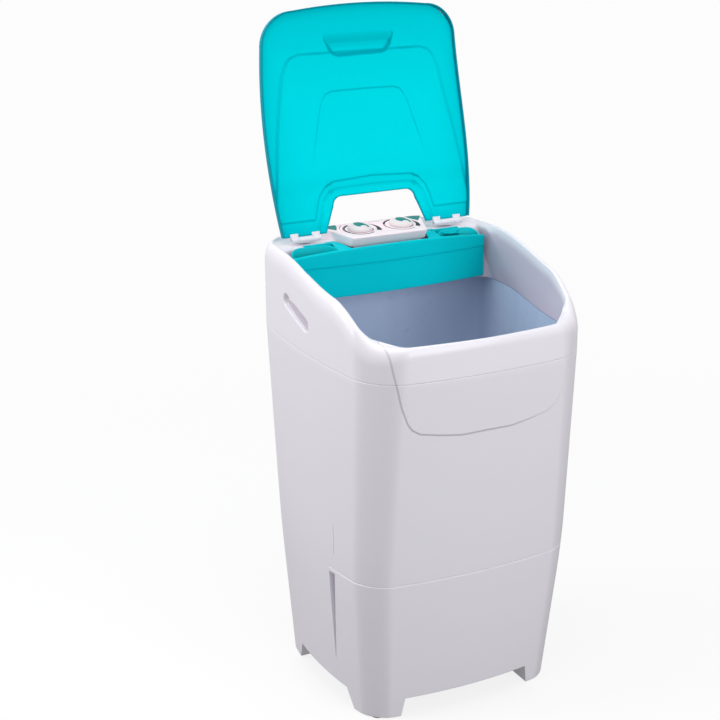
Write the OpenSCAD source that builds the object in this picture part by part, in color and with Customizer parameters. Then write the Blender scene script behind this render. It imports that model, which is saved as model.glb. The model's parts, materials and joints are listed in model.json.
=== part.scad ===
// Semi-automatic washing machine: a tapered plastic cabinet with a round-shouldered collar, a see-through lid,
// a dispenser tray, two knobs and a belt-driven pulsator. Millimetres, +Z up, front towards -Y.
// The origin lies on the floor, under the middle of the collar.

/* [Cabinet] */
// Width of the body where the collar sits on it
body_w = 520; // [500:1:540]
// Depth of the body where the collar sits on it
body_d = 573; // [560:1:590]
// Height of the joint between cabinet and collar
seam_z = 737; // [725:1:745]
// Height of the groove round the front
waist_z = 311; // [290:1:330]
// Width at the groove
waist_w = 511; // [495:1:520]
// Depth at the groove
waist_d = 482; // [470:1:495]
// How far the section at the groove lies in front of the one at the top
waist_shift = 10; // [0:1:14]
// Width at the floor
floor_w = 460; // [450:1:480]
// Depth at the floor
floor_d = 438; // [430:1:455]
// Corner radius at the top
corner_top = 70; // [60:1:80]
// Corner radius at the floor
corner_floor = 42; // [36:1:50]
// How far each face bows outwards
face_bow = 23; // [16:1:28]
// Wall of the plastic shells
wall = 3; // [2.5:0.1:3.5]
// Height of the edge between the legs
skirt_z = 44; // [36:1:52]
// Height of the plastic legs over the floor
leg_z = 3; // [2:0.5:4]
// Gap between the front legs
leg_gap_x = 284; // [260:1:300]
// Gap between the legs of one side
leg_gap_y = 212; // [190:1:230]
// Slant of the legs' inner edges
leg_slant = 22; // [10:1:30]

/* [Collar] */
// Highest level of the collar, at the back
crest_back_z = 911; // [905:1:915]
// Level of the side crests near their front
crest_side_z = 870; // [868:1:876]
// Level of the front rim
rim_z = 806; // [802:1:808]
// Front edge of the rear deck
deck_y = 160; // [158:1:163]
// Level of the rear deck
deck_z = 903; // [901:1:904]
// Half width of the mouth at the back
mouth_x = 236; // [232:1:238]
// Rear edge of the mouth
mouth_back = 130; // [126:1:134]
// Level of the mouth's lip at the back
mouth_z = 797; // [794:1:798]

/* [Tub] */
// Level of the tub floor
tub_floor_z = 455; // [452:1:462]
// Rear wall of the tub at the top
tub_back = 215; // [210:1:220]
// Thickness of the tub floor
floor_t = 4; // [3:0.5:5]

/* [Lid] */
// Length of the lid from the hinge axis
lid_l = 467; // [462:1:470]
// Half width of the lid at the hinge
lid_x = 216; // [210:1:217]
// How far the lid's sides swell
lid_swell = 15; // [10:1:16]
// How far the lid is domed
lid_dome = 16; // [15:1:20]
// How far the open lid leans back
lid_lean = 10.3; // [6:0.1:11]
// Thickness of the lid
lid_t = 3; // [2.5:0.1:3.4]
// Depth of the lid's edge flange
lid_flange = 8; // [7:0.5:8.5]
// Height of the hinge axis
hinge_z = 914; // [913:0.5:916]
// Place of the hinge axis
hinge_y = 176; // [175:1:182]
// Diameter of the hinge pins
hinge_pin_d = 6; // [5:0.5:7]

/* [Tray] */
// Half width of the dispenser tray
tray_x = 223; // [215:1:226]
// Front face of the tray in the middle
tray_front = 102; // [100:1:106]
// How far the tray's ends lie behind its middle
tray_bow = 16; // [10:1:18]
// Top edge of the tray in the middle
tray_top = 901; // [896:1:901]
// How far the top edge drops towards its ends
tray_drop = 14; // [8:1:18]
// Lower edge of the tray's front
tray_bottom = 802; // [801:1:806]
// Wall of the tray
tray_wall = 2.4; // [2:0.1:3]
// Floor level of the tray's pockets
pocket_z = 852; // [848:1:860]

/* [Controls] */
// Tilt of the control face
panel_tilt = 4; // [0:1:6]
// Middle of the control face, height
panel_z = 923; // [922:0.5:926]
// Middle of the control face, depth
panel_y = 166; // [164:1:168]
// Half width of the face at its front
panel_front_x = 88; // [85:1:90]
// Half width of the face at its back
panel_back_x = 118; // [112:1:122]
// Distance of each knob from the middle
knob_x = 49; // [46:1:50]
// Diameter of the knobs
knob_d = 50; // [44:1:52]
// Height of the knobs
knob_h = 13; // [10:1:16]
// Diameter of the knob shafts
knob_shaft_d = 6; // [5:0.5:7]

/* [Drive] */
// Place of the drive axis, front to back
drive_y = -25; // [-32:1:-20]
// Place of the motor axis, front to back
motor_y = 140; // [138:1:144]
// Level of the belt
belt_z = 300; // [296:1:303]
// Diameter of the pulsator
pulsator_d = 310; // [280:1:316]
// Diameter of the drive shaft
shaft_d = 15; // [12:1:17]
// Pitch diameter of the driven pulley
pulley_big_d = 230; // [200:1:236]
// Pitch diameter of the motor pulley
pulley_small_d = 44; // [40:1:60]
// Diameter of the motor
motor_d = 124; // [116:1:128]
// Diameter of the capacitor
capacitor_d = 38; // [32:1:42]

/* [Water and mains] */
// Place of the drain, left of the middle
drain_x = 148; // [144:1:150]
// Place of the drain, behind the middle
drain_y = 108; // [104:1:112]
// Level of the drain spigot
drain_z = 190; // [185:1:200]
// Outer diameter of the drain spigot
spigot_d = 28; // [24:1:30]
// Length of the drain spigot outside
spigot_l = 34; // [26:1:40]
// Outer diameter of the water inlet
inlet_d = 20; // [16:1:22]
// Length of the water inlet outside
inlet_l = 16; // [12:1:16]
// Bore of the mains cord gland
gland_bore_d = 8; // [6:0.5:9]

/* [Hidden] */

white = [0.90, 0.89, 0.91];
teal = [0.02, 0.72, 0.78];
gap = 0.3;
fit = 0.04;
corner_steps = 8;
front_steps = 6;
side_steps = 8;
ring_n = 4 * (corner_steps + 1) + 2 * front_steps + 2 * side_steps;
far = 400;

// Plain helpers
function mix(a, b, t) = a + (b - a) * t;
function smooth(t) = let (c = max(0, min(1, t))) c * c * (3 - 2 * c);
function unit(v) = v / norm(v);
function at_height(ring, z) = [for (p = ring) [p.x, p.y, z]];

// Body section at a height: half width, half depth, corner radius and middle
function half_w(z) = z < waist_z ? mix(floor_w, waist_w, z / waist_z) / 2
    : mix(waist_w, body_w, (z - waist_z) / (seam_z - waist_z)) / 2;
function half_d(z) = z < waist_z ? mix(floor_d, waist_d, z / waist_z) / 2
    : mix(waist_d, body_d, (z - waist_z) / (seam_z - waist_z)) / 2;
function corner_r(z) = mix(corner_floor, corner_top, min(z, seam_z) / seam_z);
function shift_y(z) = z < waist_z ? -waist_shift * z / waist_z
    : -waist_shift * (seam_z - z) / (seam_z - waist_z);

// Outer face of the body at a height, at a place across its back or along its side
function back_face(x, z) = shift_y(z) + half_d(z) - face_bow * pow(x / (half_w(z) - face_bow), 2);
function side_face(y, z) = half_w(z) - face_bow * pow((y - shift_y(z)) / (half_d(z) - face_bow), 2);

// Ring of points counter-clockwise from the middle of the right side's rear end:
// four corner arcs, each followed by the side that leads to the next one
function corner_ring(rear_x, rear_y, rear_r, front_x, front_y, front_r) =
    let (centres = [[rear_x - rear_r, rear_y - rear_r], [rear_r - rear_x, rear_y - rear_r],
            [front_r - front_x, front_y + front_r], [front_x - front_r, front_y + front_r]],
        radii = [rear_r, rear_r, front_r, front_r],
        steps = [front_steps, side_steps, front_steps, side_steps])
    [for (c = [0:3]) let (n = (c + 1) % 4,
            last = centres[c] + radii[c] * [cos(90 * c + 90), sin(90 * c + 90)],
            next = centres[n] + radii[n] * [cos(90 * c + 90), sin(90 * c + 90)])
        each concat(
            [for (i = [0:corner_steps]) let (a = 90 * c + 90 * i / corner_steps)
                centres[c] + radii[c] * [cos(a), sin(a)]],
            [for (i = [1:steps[c]]) mix(last, next, i / (steps[c] + 1))])];

function body_ring(z) =
    let (a = half_w(z) - face_bow, b = half_d(z) - face_bow, r = corner_r(z),
        flat = corner_ring(a, b, r, a, -b, r))
    [for (p = flat) [p.x * (1 + face_bow / a * (1 - pow(p.y / b, 2))),
        p.y * (1 + face_bow / b * (1 - pow(p.x / a, 2))) + shift_y(z)]];

// Inward normal of a ring at each point, and the ring moved inwards by a distance
function inward(ring) = let (n = len(ring))
    [for (j = [0:n - 1]) let (t = ring[(j + 1) % n] - ring[(j + n - 1) % n]) unit([-t.y, t.x])];
function inset(ring, d) = let (m = inward(ring)) [for (j = [0:len(ring) - 1]) ring[j] + d * m[j]];

// Closed shell from rings that lead round its wall and back to the first
module wall_loop(rings) {
    n = len(rings[0]);
    k = len(rings);
    polyhedron(points = [for (r = rings) each r],
        faces = [for (a = [0:k - 1], j = [0:n - 1]) let (b = (a + 1) % k, i = (j + 1) % n)
            each [[a * n + j, b * n + j, b * n + i], [a * n + j, b * n + i, a * n + i]]]);
}

// Closed solid from stacked rings, with a flat face at each end
module ring_stack(rings) {
    n = len(rings[0]);
    k = len(rings);
    polyhedron(points = [for (r = rings) each r],
        faces = concat([[for (j = [0:n - 1]) j]], [[for (j = [0:n - 1]) k * n - 1 - j]],
            [for (a = [0:k - 2], j = [0:n - 1]) let (b = a + 1, i = (j + 1) % n)
                each [[a * n + j, b * n + j, b * n + i], [a * n + j, b * n + i, a * n + i]]]));
}

module tube(r, bore, h) {
    difference() {
        cylinder(r = r, h = h, $fn = 48);
        translate([0, 0, -1]) cylinder(r = bore, h = h + 2, $fn = 48);
    }
}
module hexagon(across, h) {
    cylinder(d = across / cos(30), h = h, $fn = 6);
}
// Screw pointing up, its head's underside at the origin
module screw_up(d, l, head_d, head_h) {
    cylinder(d = d, h = l, $fn = 24);
    translate([0, 0, -head_h]) cylinder(d = head_d, h = head_h + 0.01, $fn = 32);
}
module both_sides() {
    children();
    mirror([1, 0, 0]) children();
}

// Cabinet
groove_depth = 1.5;
groove_half = 1.2;
groove_back = -85;
lip_w = 12;
lip_t = 3;
pad_r = 15;
pad_t = 6;
pad_seat = 3;
post_top = skirt_z + 14;
leg_mid_y = -11;
post_x = floor_w / 2 - corner_floor - 4;
post_front = -(floor_d / 2 - corner_floor - 3);
post_back = floor_d / 2 - corner_floor - 6;
post_places = [[post_x, post_front], [-post_x, post_front], [post_x, post_back], [-post_x, post_back]];
wedge_top = waist_z - 9;
wedge_low = 100;
wedge_front = -114;
wedge_back = -92;
wedge_tip = -86;
wedge_depth = 9;
wedge_angle = atan((side_face(wedge_front, wedge_top) - side_face(wedge_tip,
    wedge_low)) / (wedge_top - wedge_low));
slit_y = -108;
slit_top = 397;
slit_low = 341;
slit_w = 2.4;
cover_w = 230;
cover_low = 82;
cover_top = 262;
cover_lap = 9;
cover_t = 2.5;
cover_r = 14;
cover_screw_x = cover_w / 2 - 22;
cover_screw_z = [cover_low - 4.5, cover_top + 4.5];
hole_back_z = 372;
gland_x = 120;
gland_r = 9;
flange_r = 24;
boss_t = 8;

function groove_ring(z) = let (r = body_ring(z), m = inward(r))
    [for (j = [0:ring_n - 1]) r[j] + groove_depth * smooth((groove_back - r[j].y) / 8) * m[j]];

module cabinet_shell() {
    wall_loop([
        at_height(body_ring(leg_z), leg_z),
        at_height(body_ring(skirt_z), skirt_z),
        at_height(body_ring(waist_z - groove_half), waist_z - groove_half),
        at_height(groove_ring(waist_z), waist_z),
        at_height(body_ring(waist_z + groove_half), waist_z + groove_half),
        at_height(body_ring(seam_z), seam_z),
        at_height(inset(body_ring(seam_z), lip_w), seam_z),
        at_height(inset(body_ring(seam_z), lip_w), seam_z - lip_t),
        at_height(inset(body_ring(seam_z - lip_t), wall), seam_z - lip_t),
        at_height(inset(body_ring(waist_z), wall), waist_z),
        at_height(inset(body_ring(leg_z), wall), leg_z)]);
}
// Solid feet in the four corners
module leg_blocks() {
    intersection() {
        ring_stack([at_height(inset(body_ring(leg_z), 1), leg_z),
            at_height(inset(body_ring(post_top), 1), post_top)]);
        for (x = [-1, 1], y = [-1, 1])
            translate([x > 0 ? leg_gap_x / 2 - 4 : -far, leg_mid_y + (y > 0 ? leg_gap_y / 2 - 4 : -far), 0])
                cube([far - leg_gap_x / 2 + 4, far - leg_gap_y / 2 + 4, far]);
    }
}
module wedge_frame() {
    translate([side_face(wedge_front, wedge_top), 0, wedge_top]) rotate([0, wedge_angle, 0]) children();
}
// The pocket's outline, looking at the side, reaching from depth a to depth b inside the face
module wedge_prism(a, b, grow) {
    drop = (wedge_top - wedge_low) / cos(wedge_angle);
    translate([-b, 0, 0]) rotate([90, 0, 90]) linear_extrude(b - a)
        polygon([[wedge_back + grow, grow], [wedge_front - grow, grow - 2],
            [wedge_tip - grow, -drop - grow], [wedge_tip + grow, -drop - grow]]);
}
module rear_boss(x, z, r) {
    translate([x, back_face(x, z) - wall - boss_t + 4, z]) rotate([-90, 0, 0])
        cylinder(r = r, h = boss_t, $fn = 48);
}
module along_y(x, z, from, l, d) {
    translate([x, from, z]) rotate([-90, 0, 0]) cylinder(d = d, h = l, $fn = 48);
}
module cabinet() color(white) difference() {
    union() {
        cabinet_shell();
        leg_blocks();
        both_sides() wedge_frame() wedge_prism(wall * 0.6, wedge_depth + wall, wall);
        rear_boss(-drain_x, drain_z, flange_r + 2);
        rear_boss(gland_x, hole_back_z, gland_r + 8);
    }
    // Gaps between the legs
    translate([0, far, 0]) rotate([90, 0, 0]) linear_extrude(2 * far)
        polygon([[-leg_gap_x / 2 - leg_slant / 3, -1], [-leg_gap_x / 2, skirt_z],
            [leg_gap_x / 2, skirt_z], [leg_gap_x / 2 + leg_slant / 3, -1]]);
    translate([-far, leg_mid_y, 0]) rotate([90, 0, 90]) linear_extrude(2 * far)
        polygon([[-leg_gap_y / 2 - leg_slant, -1], [-leg_gap_y / 2, skirt_z],
            [leg_gap_y / 2, skirt_z], [leg_gap_y / 2 + leg_slant, -1]]);
    for (p = post_places) translate([p.x, p.y, 0]) cylinder(r = pad_r + gap, h = leg_z + pad_seat, $fn = 48);
    both_sides() wedge_frame() wedge_prism(-wedge_depth, wedge_depth, 0);
    both_sides() translate([side_face(slit_y, slit_low) - 1.2, slit_y - slit_w / 2, slit_low])
        cube([10, slit_w, slit_top - slit_low]);
    // Service opening, with a rebate for its cover
    translate([0, 0, cover_low]) cover_hole(cover_w / 2 - cover_lap, cover_lap, far);
    for (x = [-cover_screw_x, cover_screw_x], z = cover_screw_z)
        along_y(x, z, 0, far, 2 * cover_screw_r);
    along_y(-drain_x, drain_z, 0, far, 2 * (drain_pipe_r + gap));
    along_y(inlet_x, inlet_z, 0, far, 2 * (inlet_r + gap));
    along_y(gland_x, hole_back_z, 0, far, 2 * (gland_r + gap));
    for (p = collar_screw_places) translate([p.x, p.y, seam_z - lip_t - 1])
        cylinder(r = 2.1, h = lip_t + 2, $fn = 24);
    both_sides() translate([hook_x, 0, hook_z]) rotate([-90, 0, 0]) cylinder(r = 2.1, h = far, $fn = 24);
}
cover_screw_r = 2.1;
module cover_hole(half, lap, l) {
    translate([0, 0, lap]) rotate([-90, 0, 0]) translate([0, -(cover_top - cover_low - 2 * lap), 0])
        linear_extrude(l) {
            h = cover_top - cover_low - 2 * lap;
            polygon([for (c = [0:3], i = [0:6]) let (a = 90 * c + 15 * i,
                    cx = (c == 0 || c == 3 ? 1 : -1) * (half - cover_r),
                    cy = c < 2 ? h - cover_r : cover_r)
                [cx + cover_r * cos(a), cy + cover_r * sin(a)]]);
        }
}

// Rear cover: a curved plate that follows the back face and covers the service opening
cover_steps = 10;
module rear_cover() color(white) difference() {
    xs = [for (i = [0:cover_steps]) mix(-cover_w / 2, cover_w / 2, i / cover_steps)];
    zs = [cover_low - cover_lap, cover_top + cover_lap];
    n = cover_steps + 1;
    lift = gap;
    pts = [for (z = zs, d = [lift, lift + cover_t], x = xs) [x, back_face(x, z) + d, z]];
    ring = concat([for (i = [0:n - 1]) i], [for (i = [0:n - 1]) 2 * n - 1 - i]);
    m = len(ring);
    top = 2 * n;
    polyhedron(points = pts, faces = concat(
        [for (i = [0:n - 2]) each [[i, i + 1, n + i + 1], [i, n + i + 1, n + i]]],
        [for (i = [0:n - 2]) each [[top + i, top + n + i + 1, top + i + 1],
            [top + i, top + n + i, top + n + i + 1]]],
        [for (i = [0:m - 1]) let (k = (i + 1) % m)
            each [[ring[i], ring[i] + top, ring[k] + top], [ring[i], ring[k] + top, ring[k]]]]));
    for (x = [-cover_screw_x, cover_screw_x], z = cover_screw_z)
        along_y(x, z, 0, far, 2 * cover_screw_r + 0.6);
}
module cover_screws() color("silver")
    for (x = [-cover_screw_x, cover_screw_x], z = cover_screw_z)
        translate([x, back_face(x, z) + gap + cover_t + 0.7, z]) rotate([90, 0, 0])
            screw_up(2 * cover_screw_r - 2 * fit, 14, 8, 2.4);

// Foot pads
module foot_pads() color([0.2, 0.2, 0.21])
    for (p = post_places) translate([p.x, p.y, 0]) cylinder(r = pad_r, h = pad_t, $fn = 48);

// Collar
ground = [for (p = body_ring(seam_z)) p];
ground_in = inward(ground);
crest_front = -262;
crest_knee = -110;
crest_start = -150;
crest_top_y = 110;
lip_run = 190;
front_mouth = -258;
front_mouth_x = 208;
mouth_r_back = 35;
mouth_r_front = 70;
mouth_bow = 5;
lip_fall = 15;
collar_base = seam_z + gap;

function crest_z(y) = mix(rim_z, crest_side_z, smooth((y - crest_front) / (crest_knee - crest_front)))
    + (crest_back_z - crest_side_z) * smooth((y - crest_start) / (crest_top_y - crest_start));
function cornerness(n) = 2 * abs(n.x * n.y);
function crest_in(y, n) = 12 * n.x * n.x + (y > 0 ? 30 : 8) * n.y * n.y + (y > 0 ? 4 : 13) * cornerness(n);
function crest_drop(y, n) = 40 * n.x * n.x + (y > 0 ? 50 : 18) * n.y * n.y + (y > 0 ? 0 : 8) * cornerness(n);
function side_share(y) = smooth((y + 235) / 85) * (1 - smooth((y - 70) / 70));
function wall_top_z(y) = (y > deck_y - 1 ? deck_z : min(deck_z, crest_z(y) - 4 - 32 * side_share(y)));
function lip_z(y) = mouth_z - lip_fall * smooth((40 - y) / lip_run);

// Ring at a share of the outer rounding: 0 where the wall ends, 1 at the crest, moved inwards by t
function round_ring(share, t) = [for (j = [0:ring_n - 1])
    let (p = ground[j], n = ground_in[j], c = max(crest_in(p.y, n), t + 1), d = crest_drop(p.y, n),
        a = 90 * share,
        q = p + (t + (c - t) * (1 - cos(a))) * n)
    [q.x, q.y, crest_z(p.y) - d * (1 - sin(a)) - t * sin(a)]];
// Inner shoulder just past the crest, sunk by t
function shoulder_ring(t) = [for (j = [0:ring_n - 1])
    let (p = ground[j], n = ground_in[j], q = p + (crest_in(p.y, n) + 4) * n)
    [q.x, min(q.y, deck_y + 60 + t), (p.y > 0 ? mix(crest_z(p.y) - 3, deck_z + 0.5,
        n.y * n.y) : crest_z(p.y) - 2) - t]];
// Top edge of the inner wall, which is the front edge of the deck at the back
function edge_ring(t) = [for (j = [0:ring_n - 1])
    let (p = ground[j], n = ground_in[j], q = p + (crest_in(p.y, n) + 10 - t) * n)
    [q.x, min(q.y, deck_y + t), (q.y > deck_y - 24 ? mix(wall_top_z(q.y), deck_z,
        smooth((q.y - deck_y + 24) / 24))
        : wall_top_z(q.y)) - t]];
// Swells the sides and the front of the mouth by a share
function bowed(p, share) = let (s = smooth((mouth_back - 30 - p.y) / 60) * smooth((p.y - front_mouth - 40) / 60),
        f = p.y < front_mouth + 20 ? max(0, 1 - pow(p.x / front_mouth_x, 2)) : 0)
    [p.x + sign(p.x) * mouth_bow * s * share, p.y - 1.6 * mouth_bow * f * share];
function mouth_ring(grow) =
    let (flat = corner_ring(mouth_x + grow, mouth_back + grow, mouth_r_back + grow,
            front_mouth_x + grow, front_mouth - grow, mouth_r_front + grow))
    [for (p = flat) bowed(p, 1)];
function lip_ring(grow) = [for (p = mouth_ring(grow)) [p.x, p.y, lip_z(p.y)]];

collar_screw_places = [for (j = [4, 12, 20, 28, 36, 44, 52, 60]) let (k = j % ring_n)
    ground[k] + 7.6 * ground_in[k]];
inlet_x = 150;
inlet_z = 625;
inlet_r = inlet_d / 2 - 1.5;
outlet_x = 195;
outlet_z = 872;
inlet_hose_r = 8;
inlet_bore_r = 5.5;
grip_r = 14;
grip_rear = [74, 822];
grip_front = [-15, 796];
grip_depth = 9;
// The hand grip's outline, looking at the side, from depth a to depth b inside the face
module grip_prism(a, b, r) {
    tilt = atan((grip_rear[1] - grip_front[1]) / (grip_rear[0] - grip_front[0]));
    translate([side_face(0, seam_z) - b, 0, 0]) rotate([90, 0, 90]) linear_extrude(b - a) polygon(concat(
        [for (i = [0:12]) grip_rear + r * [cos(tilt - 90 + 15 * i), sin(tilt - 90 + 15 * i)]],
        [for (i = [0:12]) grip_front + r * [cos(tilt + 90 + 15 * i), sin(tilt + 90 + 15 * i)]]));
}
module collar() color(white) difference() {
    union() {
        wall_loop(concat(
            [at_height(ground, collar_base)],
            [for (s = [0:0.25:1]) round_ring(s, 0)],
            [shoulder_ring(0), edge_ring(0), lip_ring(0), lip_ring(wall), edge_ring(wall),
                shoulder_ring(wall)],
            [for (s = [1, 0.6, 0.3, 0]) round_ring(s, wall)],
            [at_height(inset(ground, wall), collar_base)]));
        both_sides() grip_prism(wall - 0.2, grip_depth + wall, grip_r + wall - 0.6);
    }
    both_sides() grip_prism(-grip_depth, grip_depth, grip_r);
    along_y(outlet_x, outlet_z, deck_y - 50, 60, 2 * (inlet_hose_r + gap));
    translate([-box_x - gap, box_front, box_low - gap])
        cube([2 * (box_x + gap), box_back - box_front + gap, far]);
    both_sides() for (x = bracket_screw_x) translate([x, bracket_screw_y, 0])
        cylinder(r = 1.7, h = far * 3, $fn = 24);
}
module collar_screws() color("silver")
    for (p = collar_screw_places) translate([p.x, p.y, seam_z - lip_t - gap]) screw_up(4, 10, 7.5, 2.6);

// Tub
tub_wall = 3;
tub_low_z = tub_floor_z + 20;
tub_gap = 0.6;
flange_z = seam_z + gap;
flange_t = 3;
tub_low_x = 212;
tub_low_back = 200;
tub_low_front = -235;
tub_low_r = 90;
tub_corner = 60;
tub_top_x = mouth_x + (mouth_x - front_mouth_x) * (tub_back - tub_corner - mouth_back + mouth_r_back)
    / (mouth_back - mouth_r_back - front_mouth - mouth_r_front);
function tub_ring(z, out) = let (t = max(0, min(1, (z - tub_low_z) / (mouth_z - tub_low_z))),
        flat = corner_ring(mix(tub_low_x, tub_top_x + tub_gap, t) + out, mix(tub_low_back, tub_back, t) + out,
            mix(tub_low_r, tub_corner, t) + out, mix(tub_low_x - 8, front_mouth_x + tub_gap, t) + out,
            mix(tub_low_front, front_mouth - tub_gap, t) - out, mix(tub_low_r, mouth_r_front, t) + out))
    [for (p = flat) bowed(p, t)];
function tub_rim(out) = [for (p = tub_ring(mouth_z, out)) [p.x, p.y, lip_z(p.y) - tub_gap]];
under_z = tub_floor_z - floor_t;
pad_z = under_z - 10;
bore_r = 20;
housing_pad_r = 80;
housing_pcd = 130;
housing_screw_n = 6;
mount_x = 78;
mount_front = motor_y - 40;
mount_back = motor_y + 25;
mount_places = [[mount_x, mount_front], [-mount_x, mount_front], [mount_x, mount_back],
    [-mount_x, mount_back]];
mount_r = 12;
bolt_r = 3;
drain_r = 16;
drain_pipe_r = 14;
drain_neck = 30;
filter_x = 82;
filter_w = 64;
filter_h = 96;
filter_z = 486;
filter_d = 14;
module tub() color([0.80, 0.84, 0.90]) difference() {
    union() {
        ring_stack([
            at_height(inset(tub_ring(tub_low_z, tub_wall), 34), under_z),
            at_height(inset(tub_ring(tub_low_z, tub_wall), 12), under_z + 4),
            at_height(tub_ring(tub_low_z, tub_wall), tub_low_z - 4),
            at_height(tub_ring(flange_z, tub_wall), flange_z),
            at_height(inset(ground, wall + 0.6), flange_z),
            at_height(inset(ground, wall + 0.6), flange_z + flange_t),
            at_height(tub_ring(flange_z + flange_t, tub_wall), flange_z + flange_t),
            tub_rim(tub_wall),
            tub_rim(0),
            at_height(tub_ring(tub_low_z, 0), tub_low_z),
            at_height(inset(tub_ring(tub_low_z, 0), 6), tub_floor_z + 8),
            at_height(inset(tub_ring(tub_low_z, 0), 18), tub_floor_z + 2),
            at_height(inset(tub_ring(tub_low_z, 0), 34), tub_floor_z)]);
        translate([0, drive_y, pad_z]) cylinder(r = housing_pad_r, h = floor_t + 8, $fn = 64);
        for (p = mount_places) translate([p.x, p.y, pad_z]) cylinder(r = mount_r, h = floor_t + 8, $fn = 32);
        translate([-drain_x, drain_y, under_z - drain_neck])
            cylinder(r = drain_r, h = drain_neck + 2, $fn = 48);
    }
    translate([0, drive_y, pad_z - 1]) cylinder(r = bore_r + gap, h = 40, $fn = 48);
    translate([-drain_x, drain_y, under_z - drain_neck - 1])
        cylinder(r = drain_r - 3, h = drain_neck + 40, $fn = 48);
    for (a = [0:housing_screw_n - 1]) translate([0, drive_y, pad_z - 1])
        rotate([0, 0, 360 * a / housing_screw_n])
        translate([housing_pcd / 2, 0, 0]) cylinder(r = 2.5 + gap / 3, h = 11, $fn = 24);
    for (p = mount_places) translate([p.x, p.y, pad_z - 1]) cylinder(r = bolt_r + gap / 3, h = 10, $fn = 24);
    for (p = collar_screw_places) translate([p.x, p.y, flange_z - 1])
        cylinder(r = 2.1, h = flange_t + 2, $fn = 24);
    translate([hose_pass.x, hose_pass.y, flange_z - 1])
        cylinder(r = inlet_hose_r + 2, h = flange_t + 2, $fn = 48);
    translate([wire_pass.x, wire_pass.y, flange_z - 1]) cylinder(r = wire_r + 2, h = flange_t + 2, $fn = 48);
}

// Pulsator and its shaft
pulsator_z = tub_floor_z + 5;
pulsator_r = pulsator_d / 2;
hub_r = 34;
hub_top = 58;
vane_n = 6;
shaft_r = shaft_d / 2;
cap_r = 26;
seal_r = 15.5;
seal_h = 7;
housing_top = tub_floor_z + 3;
neck_r = bore_r;
module pulsator() color([0.93, 0.94, 0.95]) translate([0, drive_y, pulsator_z]) difference() {
    union() {
        rotate_extrude($fn = 96) polygon([[0, 8], [hub_r - 4, 8], [pulsator_r - 12, 3], [pulsator_r - 3, 0],
            [pulsator_r, 3], [pulsator_r, 7], [pulsator_r - 12, 11], [90, 15], [hub_r + 14, 24], [hub_r, 40],
            [hub_r - 3, hub_top - 6], [hub_r - 8, hub_top], [0, hub_top]]);
        intersection() {
            rotate_extrude($fn = 96) polygon([[hub_r - 6, 10], [pulsator_r - 10, 6], [pulsator_r - 8, 11],
                [120, 34], [hub_r + 16, 46], [hub_r - 6, 48]]);
            for (a = [0:vane_n - 1]) rotate([0, 0, 360 * a / vane_n]) translate([0, -7, 0])
                cube([pulsator_r, 14, hub_top]);
        }
    }
    translate([0, 0, -1]) cylinder(r = shaft_r + fit, h = 40, $fn = 48);
    translate([0, 0, hub_top - 8]) cylinder(r = cap_r - 4, h = 10, $fn = 48);
    translate([0, 0, 30]) cylinder(r = 3.3, h = 40, $fn = 24);
    translate([0, 0, 6]) rotate([180, 0, 0]) cylinder(r = neck_r + 3, h = 8, $fn = 48);
}
module pulsator_cap() color(teal) translate([0, drive_y, pulsator_z + hub_top]) {
    translate([0, 0, gap]) rotate_extrude($fn = 48) polygon([[0, 0], [cap_r - 1, 0], [cap_r - 1, 1.4],
        [cap_r - 5, 4], [cap_r - 14, 5.6], [0, 6]]);
    translate([0, 0, gap - 4]) tube(cap_r - 4 - gap, cap_r - 6, 4.1);
}
shaft_top = pulsator_z + 38;
shaft_low = belt_z - 22;
shoulder_z = belt_z - 8;
module pulsator_screw() color("silver") translate([0, drive_y, pulsator_z + hub_top - 8 + gap]) {
    translate([0, 0, -24]) cylinder(r = 3 - fit, h = 24, $fn = 24);
    hexagon(10, 3.6);
}
module drive_shaft() color("silver") translate([0, drive_y, 0]) difference() {
    union() {
        translate([0, 0, shoulder_z]) cylinder(r = shaft_r, h = shaft_top - shoulder_z, $fn = 48);
        translate([0, 0, shaft_low]) cylinder(r = 5, h = shoulder_z - shaft_low + 1, $fn = 48);
    }
    translate([0, 0, shaft_top - 30]) cylinder(r = 3 + fit, h = 40, $fn = 24);
}
bush_r = shaft_r + 6;
bush_l = 24;
housing_low = belt_z + 30;
housing_flange_z = pad_z - gap - 5;
module shaft_seal() color([0.12, 0.12, 0.13]) translate([0, drive_y, housing_top - seal_h])
    tube(seal_r - fit, shaft_r + fit, seal_h - 1);
module upper_bush() color([0.72, 0.55, 0.25]) translate([0, drive_y, housing_top - seal_h - 2 - bush_l])
    tube(bush_r - fit, shaft_r + fit, bush_l);
module lower_bush() color([0.72, 0.55, 0.25]) translate([0, drive_y, housing_low + 2])
    tube(bush_r - fit, shaft_r + fit, bush_l);
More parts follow.
